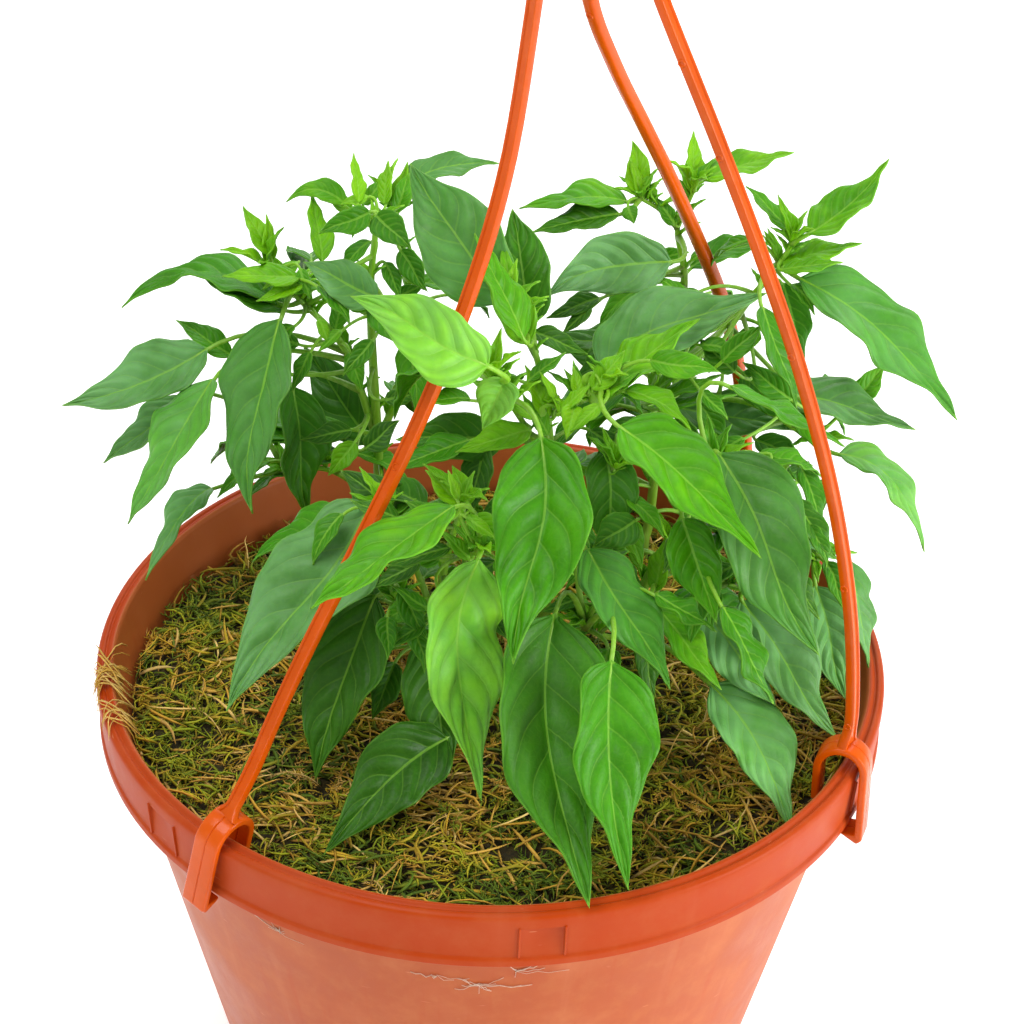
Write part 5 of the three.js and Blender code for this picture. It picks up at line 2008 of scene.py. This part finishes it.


# In these tables a leaf's sheen strength sets how strongly a pale painted sheen, standing for the
# sky's reflection, is laid over it.
BACK_LEFT = Plant(
    name="chilli_plant_back_left", foot=(-38, 65),
    stems=(
        Stem((5.2, 2.2), ((379, 500, 62), (378, 442, 60), (372, 340, 57), (371, 284, 55),
             (376, 228, 55)), rooted=True),
        Stem((3.2, 1.6), ((378, 442, 60), (345, 350, 58), (300, 300, 57), (268, 268, 56))),
        Stem((3.2, 1.6), ((378, 442, 60), (402, 380, 62), (408, 300, 66), (396, 215, 68))),
        Stem((2.6, 1.6), ((379, 500, 62), (330, 470, 60), (285, 470, 58))),
    ),
    leaves=(
        Leaf((280, 305), (121, 307), 26, 56, via=(204, 272)),
        Leaf((271, 256), (243, 206), 22, 56, 0.9, lean=-5, arch=0.05),
        Leaf((300, 277), (222, 276), 22, 50, 0.85, lean=10),
        Leaf((302, 284), (256, 301), 18, 48, 0.9, lean=15),
        Leaf((208, 348), (62, 405), 58, 58, 0.3, via=(140, 384), lean=5, painted_sheen=1),
        Leaf((232, 356), (176, 320), 25, 62, 0.6, lean=-5),
        Leaf((213, 378), (127, 524), 45, 46, 0.7, lean=5, arch=0.12, painted_sheen=0.6),
        Leaf((190, 398), (103, 463), 34, 66, 0.3, painted_sheen=0.8),
        Leaf((280, 318), (252, 514), 66, 42, 0.35, via=(256, 414), painted_sheen=0.4),
        Leaf((372, 445), (303, 345), 58, 66, 0.25, lean=-15, arch=0.06),
        Leaf((292, 385), (308, 518), 50, 62, 0.35, lean=-15),
        Leaf((212, 488), (145, 580), 27, 50, 0.45, via=(182, 515), lean=12, painted_sheen=1.1),
        Leaf((377, 298), (303, 262), 46, 42, 0.35, lean=5, arch=0.12, painted_sheen=1.1),
        Leaf((358, 203), (354, 153), 13, 56, 0.95, lean=-10, arch=0.03),
        Leaf((385, 205), (388, 160), 15, 60, 0.95, lean=-10, arch=0.03),
        Leaf((345, 205), (286, 202), 22, 60, 0.75, via=(318, 190)),
        Leaf((322, 262), (312, 192), 22, 50, 0.85, lean=-5, arch=0.04),
        Leaf((370, 212), (318, 234), 28, 46, 0.6, lean=10),
        Leaf((376, 215), (412, 250), 34, 46, 0.35, lean=15),
        Leaf((402, 188), (499, 163), 26, 72, 0.35, via=(448, 167), painted_sheen=0.5),
        Leaf((372, 300), (404, 352), 30, 46, 0.55, lean=15),
        Leaf((350, 352), (362, 392), 22, 50, 0.7), Leaf((400, 250), (428, 292), 26, 60),
        Leaf((396, 212), (410, 172), 20, 64, 0.75, lean=-10),
        Leaf((335, 330), (345, 290), 20, 56, 0.75, lean=-10),
        Leaf((395, 385), (455, 372), 40, 66, 0.3),
    ),
    inner=InnerLeaves(6, 11, (0, 3, 1), (60, 200), (0.38, 0.64), (32, 46)),
    extra=small_leaves(
        (287, 311, 195, 272, 28, 56, 0.35, 0, 0.16), (373, 340, 343, 376, 20, 40, 0.4),
        (352, 214, 320, 184, 16, 62, 0.85), (298, 262, 262, 290, 14, 58, 0.9),
        (300, 268, 310, 300, 15, 52, 0.75), (355, 442, 328, 476, 24, 44, 0.85),
        (318, 318, 330, 345, 12, 48, 0.9), (342, 330, 318, 352, 11, 46, 0.8),
        (385, 262, 402, 300, 18, 58, 0.5), (362, 205, 388, 178, 14, 64, 0.8),
        (372, 200, 398, 158, 9, 66, 0.95), (368, 196, 340, 205, 12, 60, 0.9),
        (384, 400, 424, 392, 18, 40, 0.25), (300, 345, 262, 330, 18, 54, 0.45),
        (345, 300, 376, 312, 16, 50, 0.7), (310, 352, 292, 392, 16, 46, 0.6),
        (365, 448, 400, 420, 26, 40, 0.1), (352, 430, 300, 440, 22, 50, 0.15),
        (395, 300, 425, 282, 16, 60, 0.55), (330, 290, 352, 268, 12, 56, 0.9),
    ),
    fill=InnerLeaves(20, 71, (0, 1, 2, 3, 0, 2), (0, 360), (0.4, 0.88), (12, 27), 0.5),
)

BACK_RIGHT = Plant(
    name="chilli_plant_back_right", foot=(50, 75),
    stems=(
        Stem((4.8, 2.4), ((650, 515, 76), (664, 400, 73), (684, 290, 70),
             (677, 228, 70)), rooted=True),
        Stem((2, 1.4), ((677, 228, 70), (660, 210, 70), (640, 198, 70))),
        Stem((1.8, 1.4), ((677, 228, 70), (687, 205, 70), (694, 190, 69))),
        Stem((3, 1.4), ((664, 400, 73), (722, 330, 62), (776, 268, 52), (792, 244, 50))),
        Stem((2.8, 1.6), ((664, 400, 73), (745, 402, 62), (812, 440, 55))),
    ),
    leaves=(
        Leaf((643, 196), (632, 140), 27, 70, 1, lean=-5, arch=0.04),
        Leaf((692, 192), (694, 131), 20, 69, 1, lean=-5, arch=0.03),
        Leaf((700, 180), (794, 152), 24, 69, 0.85, via=(748, 164)),
        Leaf((628, 202), (519, 208), 24, 68, 0.75, via=(578, 198), lean=5),
        Leaf((620, 214), (532, 232), 26, 62, 0.3, via=(575, 222)),
        Leaf((672, 262), (546, 297), 66, 52, 0.2, via=(604, 268), lean=10, painted_sheen=1.2),
        Leaf((660, 345), (538, 338), 34, 60, 0.3),
        Leaf((690, 268), (772, 243), 24, 76, 0.6, lean=-5, via=(730, 250)),
        Leaf((792, 232), (746, 186), 16, 54, 0.7, lean=-5),
        Leaf((808, 234), (889, 158), 38, 48, 0.8, via=(852, 203), lean=-10, twist=25),
        Leaf((782, 268), (862, 243), 20, 48, 0.9, via=(822, 252)),
        Leaf((782, 270), (843, 262), 16, 44, 0.85, lean=10),
        Leaf((798, 278), (958, 420), 60, 44, 0.55, via=(888, 339), lean=5, painted_sheen=0.5),
        Leaf((852, 402), (886, 366), 26, 56, 0.75, lean=-10),
        Leaf((782, 282), (805, 364), 34, 58, 0.45, lean=-10),
        Leaf((775, 395), (916, 429), 42, 50, 0.2, via=(845, 406), painted_sheen=0.7),
        Leaf((670, 406), (800, 430), 46, 66, 0.2, arch=0.1, painted_sheen=0.4),
        Leaf((755, 440), (814, 466), 26, 50, 0.4, lean=10),
        Leaf((742, 372), (806, 428), 40, 46, 0.4, lean=5),
        Leaf((838, 454), (925, 552), 27, 48, 0.8, via=(893, 482), lean=5, painted_sheen=0.9),
        Leaf((628, 206), (634, 224), 18, 64, 0.6, lean=5),
        Leaf((676, 226), (655, 196), 16, 66, 0.55, lean=-5),
        Leaf((760, 330), (728, 352), 22, 54, 0.8), Leaf((650, 260), (690, 252), 20, 76, 0.6),
        Leaf((640, 370), (560, 345), 40, 78, 0.25, lean=-5),
    ),
    inner=InnerLeaves(6, 37, (0,), (95, 185), (0.42, 0.62), (30, 40)),
    extra=small_leaves(
        (600, 298, 546, 318, 20, 50, 0.25), (592, 306, 562, 334, 15, 46, 0.3),
        (625, 340, 566, 412, 38, 34, 0.12), (655, 392, 692, 358, 13, 24, 0.85),
        (658, 400, 722, 374, 14, 20, 0.8), (650, 388, 668, 346, 10, 22, 0.9),
        (665, 408, 738, 394, 12, 16, 0.7), (722, 362, 762, 324, 24, 16, 0.6),
        (735, 372, 698, 338, 26, 20, 0.35), (792, 400, 742, 362, 28, 18, 0.45),
        (762, 306, 797, 408, 26, 26, 0.42, 0, 0.14), (690, 300, 655, 276, 14, 44, 0.7),
        (700, 345, 742, 350, 16, 22, 0.65), (640, 420, 600, 440, 22, 24, 0.2),
        (672, 420, 708, 446, 20, 14, 0.3), (745, 438, 712, 456, 14, 12, 0.6),
        (680, 372, 648, 366, 12, 26, 0.8), (700, 390, 728, 420, 16, 14, 0.55),
        (636, 352, 604, 366, 14, 30, 0.5), (668, 330, 640, 316, 15, 34, 0.55),
    ),
    fill=InnerLeaves(14, 73, (0, 3, 4, 3, 0, 4), (0, 360), (0.4, 0.82), (12, 24), 0.5),
)

CENTRE = Plant(
    name="chilli_plant_centre", foot=(17, 5),
    stems=(
        Stem((6.4, 3.4), ((545, 600, 2), (553, 500, 0), (547, 415, 2)), rooted=True),
        Stem((2.6, 1.6), ((547, 415, 2), (538, 362, 5), (522, 318, 8), (508, 298, 10))),
        Stem((2.4, 1.6), ((553, 470, 1), (515, 410, -8), (492, 380, -14))),
        Stem((2.4, 1.6), ((547, 415, 2), (578, 402, 0), (604, 385, -2))),
        Stem((2.6, 1.8), ((549, 540, 1), (585, 510, -6), (615, 470, -10))),
    ),
    leaves=(
        Leaf((489, 366), (350, 296), 76, -40, 0.9, lean=10, arch=0.1, painted_sheen=0.6),
        Leaf((500, 305), (410, 163), 92, 14, 0.35, lean=-10, arch=0.08, painted_sheen=0.5),
        Leaf((532, 326), (512, 208), 62, 20, 0.35, lean=-15, arch=0.08),
        Leaf((528, 345), (492, 262), 40, 2, 0.9, lean=-5, arch=0.05),
        Leaf((505, 380), (482, 430), 44, -20, 0.85, lean=15, painted_sheen=0.4),
        Leaf((548, 418), (525, 365), 20, -4, 1, lean=-5, arch=0.03),
        Leaf((575, 405), (566, 440), 24, -10, 1, lean=20),
        Leaf((580, 398), (573, 366), 14, -4, 1, lean=-10, arch=0.03),
        Leaf((541, 436), (513, 664), 104, -31, 0.55, via=(537, 548), lean=16, fold=16, wave=0.035),
        Leaf((618, 426), (762, 558), 68, -24, 0.7, via=(686, 480), lean=10),
        Leaf((606, 450), (615, 560), 56, -4, 0.3),
        Leaf((530, 430), (455, 452), 30, -10, 0.85, lean=10),
        Leaf((505, 435), (395, 440), 52, 2, 0.3),
        Leaf((650, 360), (720, 372), 30, -2, 0.75, lean=5),
        Leaf((592, 390), (625, 350), 26, -6, 0.9, lean=-10),
        Leaf((600, 372), (768, 292), 74, 16, 0.3, via=(670, 324), lean=-5, painted_sheen=0.9),
        Leaf((590, 398), (700, 318), 38, 2, 0.85, lean=-10, arch=0.1),
        Leaf((540, 480), (470, 560), 56, -4, 0.25, lean=10),
    ),
    inner=InnerLeaves(5, 31, (0, 2, 4), (60, 190), (0.35, 0.7), (32, 46)),
    extra=small_leaves(
        (524, 340, 475, 233, 32, -4, 0.75, 0, 0.06), (533, 332, 588, 354, 22, 20, 0.3),
        (548, 436, 523, 394, 17, -8, 0.75), (602, 404, 570, 432, 15, -14, 0.9),
        (535, 418, 505, 398, 14, -12, 0.85), (560, 412, 592, 384, 12, -10, 0.9),
        (566, 420, 548, 384, 9, -8, 0.95), (600, 395, 640, 372, 14, -6, 0.8),
        (470, 440, 388, 470, 26, -8, 0.5), (484, 445, 468, 522, 32, -2, 0.12),
        (617, 436, 608, 556, 42, 4, 0.2), (580, 520, 596, 566, 14, -6, 0.4),
        (583, 598, 541, 612, 17, -24, 0.4), (556, 400, 540, 372, 8, -6, 1),
        (512, 385, 490, 362, 12, -10, 0.85), (505, 395, 470, 380, 16, -12, 0.8),
        (590, 430, 632, 462, 22, 6, 0.3), (500, 560, 455, 590, 18, -20, 0.35),
        (530, 380, 566, 352, 13, 0, 0.6), (540, 545, 500, 610, 22, -14, 0.15),
        (622, 560, 640, 610, 18, -10, 0.25),
    ),
    fill=InnerLeaves(14, 79, (0, 4, 2, 3, 4), (0, 360), (0.3, 0.72), (11, 24), 0.6),
    buds=(
        Bud((553, 418, -3), 60), Bud((560, 414, -5), 170, 7), Bud((574, 402, -4), 20, 8),
        Bud((588, 396, -6), 80, 9), Bud((600, 386, -6), 130, 7),
    ),
)

FRONT_LEFT = Plant(
    name="chilli_plant_front_left", foot=(-25, -15),
    stems=(
        Stem((4.8, 2), ((432, 640, -20), (446, 560, -27), (463, 503, -30)), rooted=True),
        Stem((2.8, 1.6), ((436, 620, -21), (412, 560, -18), (385, 515, -14))),
        Stem((2.2, 1.4), ((432, 640, -20), (410, 625, -27), (398, 602, -30))),
        Stem((2.2, 1.6), ((446, 560, -27), (468, 555, -38), (480, 552, -46))),
    ),
    leaves=(
        Leaf((372, 500), (226, 711), 98, -14, 0.25, lean=10, via=(306, 600), painted_sheen=0.9),
        Leaf((455, 505), (310, 608), 46, -51, 0.75, via=(380, 559), lean=24),
        Leaf((376, 594), (315, 780), 78, -26, 0.2, via=(340, 690)),
        Leaf((479, 558), (482, 801), 82, -54, 0.85, via=(458, 668), painted_sheen=0.4),
        Leaf((448, 738), (323, 856), 80, -52, 0.1, via=(389, 780), lean=15),
        Leaf((425, 640), (452, 770), 70, -32, 0.2, arch=0.08),
        Leaf((395, 662), (372, 720), 32, -30, 0.3, lean=5),
        Leaf((415, 600), (380, 625), 24, -38, 0.7, lean=10),
        Leaf((462, 505), (425, 470), 22, -30, 0.95, lean=-5),
        Leaf((470, 505), (452, 465), 24, -24, 0.9, lean=-5, arch=0.04),
        Leaf((470, 520), (512, 552), 34, -40, 0.8, lean=15),
        Leaf((440, 560), (392, 548), 24, -32, 0.75, lean=5),
        Leaf((400, 590), (428, 640), 26, -40, lean=10), Leaf((400, 600), (372, 572), 20, -30, 0.8),
        Leaf((410, 520), (340, 470), 50, -8, 0.05, lean=-5),
        Leaf((385, 520), (245, 610), 50, 4, 0.45, arch=0.08, painted_sheen=0.6),
    ),
    inner=InnerLeaves(3, 43, (0, 1), (120, 200), (0.4, 0.8), (30, 42)),
    extra=small_leaves(
        (450, 548, 386, 566, 20, -40, 0.3), (428, 610, 392, 586, 15, -46, 0.6),
        (426, 624, 384, 648, 17, -48, 0.42), (470, 560, 440, 530, 14, -44, 0.8),
        (466, 516, 496, 540, 14, -48, 0.85), (440, 520, 404, 500, 16, -40, 0.55),
        (420, 560, 372, 590, 22, -36, 0.2), (400, 520, 350, 500, 20, -30, 0.35),
        (478, 600, 508, 640, 20, -50, 0.2), (455, 640, 428, 690, 22, -54, 0.15),
        (440, 590, 470, 625, 16, -50, 0.45), (385, 540, 340, 560, 18, -30, 0.3),
        (458, 500, 448, 470, 10, -44, 0.95),
    ),
    fill=InnerLeaves(16, 83, (0, 1, 2, 3), (0, 360), (0.4, 0.97), (12, 26), 0.45),
)

RIGHT = Plant(
    name="chilli_plant_right", foot=(50, -5),
    stems=(
        Stem((5.6, 2.2), ((640, 600, -8), (676, 530, -8), (712, 470, -6)), rooted=True),
        Stem((2.6, 1.6), ((628, 640, -8), (604, 636, -20), (585, 628, -28))),
        Stem((2.6, 1.6), ((655, 570, -8), (705, 575, -12), (745, 590, -14))),
        Stem((2.4, 1.4), ((690, 505, -7), (760, 520, 0), (815, 560, 6))),
    ),
    leaves=(
        Leaf((718, 452), (820, 656), 96, -14, 0.3, lean=5, arch=0.12, painted_sheen=0.3),
        Leaf((555, 613), (590, 908), 118, -57, 0.3, lean=16, via=(550, 755)),
        Leaf((612, 660), (629, 890), 86, -75, via=(609, 760), lean=10),
        Leaf((587, 548), (671, 690), 60, -34, lean=10, arch=0.1, painted_sheen=0.3),
        Leaf((682, 518), (717, 624), 54, -26, 0.65, lean=5),
        Leaf((656, 607), (722, 690), 34, -30, 0.75, lean=10),
        Leaf((655, 592), (667, 535), 22, -20, 0.85, lean=-5),
        Leaf((710, 684), (792, 832), 66, -34, 0.6, via=(761, 752), lean=10, painted_sheen=1.1),
        Leaf((740, 600), (838, 738), 62, -12, 0.25, lean=5, painted_sheen=1),
        Leaf((705, 610), (776, 706), 60, -20, 0.4, lean=5, wave=0.05, painted_sheen=1.2),
        Leaf((815, 585), (846, 700), 50, 4, 0.4, painted_sheen=1.1),
        Leaf((850, 560), (869, 668), 26, 14, 0.35, painted_sheen=1),
        Leaf((636, 520), (592, 548), 40, -24, 0.3), Leaf((745, 480), (700, 520), 30, -16, 0.3),
        Leaf((765, 490), (835, 560), 40, 8, 0.25, painted_sheen=1.1),
        Leaf((640, 625), (655, 700), 30, -26, 0.3),
    ),
    inner=InnerLeaves(4, 53, (0, 3), (15, 85), (0.4, 0.75), (28, 38)),
    extra=small_leaves(
        (730, 385, 845, 446, 13, -18, 0.62, 0, 0.04), (800, 466, 826, 532, 22, 6, 0.5),
        (655, 594, 717, 632, 21, -48, 0.5, 0, 0.1, 14, 0.05),
        (722, 606, 774, 704, 28, -54, 0.5, 0, 0.1, 14, 0.04), (684, 530, 662, 574, 22, -20, 0.15),
        (700, 520, 668, 500, 18, -10, 0.4), (790, 500, 838, 560, 26, -6, 0.3),
        (735, 566, 690, 590, 20, -34, 0.3), (780, 560, 820, 620, 24, -20, 0.25),
        (700, 590, 676, 548, 14, -30, 0.7), (745, 590, 800, 600, 18, -30, 0.45),
        (760, 455, 790, 480, 16, 0, 0.65), (770, 460, 748, 490, 14, -4, 0.55),
    ),
    fill=InnerLeaves(16, 89, (0, 1, 2, 3), (0, 360), (0.4, 0.97), (13, 28), 0.45),
)

PLANTS = (BACK_LEFT, BACK_RIGHT, CENTRE, FRONT_LEFT, RIGHT)


# ---------- studio ----------


@dataclass
class Studio:
    """A pale floor, soft light and the camera at the viewpoint."""

    floor_radius: float = 20000
    floor_colour: Triple = (250, 250, 250)
    sky: float = 0.5
    glow: float = 0.35
    sensor: float = 36.0

    def build(self) -> None:
        """Makes all of it."""
        self.build_floor()
        self.build_lights()
        self.build_camera()

    def build_floor(self) -> None:
        """A large plain floor under the pot."""
        bpy.ops.object.select_all(action="DESELECT")
        bpy.ops.mesh.primitive_circle_add(vertices=96, radius=self.floor_radius * MM,
                                          fill_type="NGON", location=(0, 0, -0.2 * MM))
        floor = taken("studio_floor")
        recipe = Recipe("studio_floor")
        floor.data.materials.append(recipe.done(linear(self.floor_colour), 0.9, **{
            "Emission Color": (1, 1, 1, 1), "Emission Strength": self.glow}))

    def build_lights(self) -> None:
        """A bright even sky, a large soft key above, a soft lamp behind and a stronger one low at
        the right.
        """
        scene = bpy.context.scene
        scene.view_settings.view_transform = "Standard"
        world = bpy.data.worlds.new("studio_sky")
        world.use_nodes = True
        sky = world.node_tree.nodes["Background"]
        sky.inputs["Color"].default_value = (1, 1, 1, 1)
        sky.inputs["Strength"].default_value = self.sky
        scene.world = world
        self.lamp("key", (-450, -450, 1600), 900, 14)
        self.lamp("back", (250, 1100, 1150), 1300, 12)
        self.lamp("side", (1250, -420, 520), 700, 15)

    def lamp(self, name: str, place: Triple, size: float, watts: float) -> None:
        """Adds a square soft lamp that faces the plants.

        Args:
            name: its name.
            place: where it hangs.
            size: width of its square face.
            watts: its strength.
        """
        data = bpy.data.lights.new(name, "AREA")
        data.size = size * MM
        data.energy = watts
        item = bpy.data.objects.new(name, data)
        item.location = Vector(place) * MM
        towards = Vector((0, 0, 200)) - Vector(place)
        item.rotation_euler = towards.to_track_quat("-Z", "Y").to_euler()
        bpy.context.collection.objects.link(item)

    def build_camera(self) -> None:
        """The camera at the viewpoint."""
        data = bpy.data.cameras.new("camera")
        data.sensor_width = self.sensor
        data.lens = VIEW.focal / VIEW.frame * self.sensor
        camera = bpy.data.objects.new("camera", data)
        ahead, right, up = VIEW.axes()
        turn = Matrix((right, up, -ahead)).transposed()
        camera.matrix_world = Matrix.Translation(Vector(VIEW.eye) * MM) @ turn.to_4x4()
        bpy.context.collection.objects.link(camera)
        bpy.context.scene.camera = camera


# ---------- the whole ----------


def main() -> None:
    """Builds every piece in order."""
    logging.basicConfig(level=logging.INFO, format="%(name)s: %(message)s")
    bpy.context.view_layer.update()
    Studio().build()
    pot = Pot()
    pot.dress(pot.build())
    hanger = Hanger(pot)
    hanger.dress(hanger.build())
    bed = Bed(pot)
    bed.dress()
    foliage = Foliage()
    draws = random.Random(3)
    for plant in PLANTS:
        plant.build(bed, foliage, draws)
    foliage.remove_patterns()


if __name__ == "__main__":
    main()
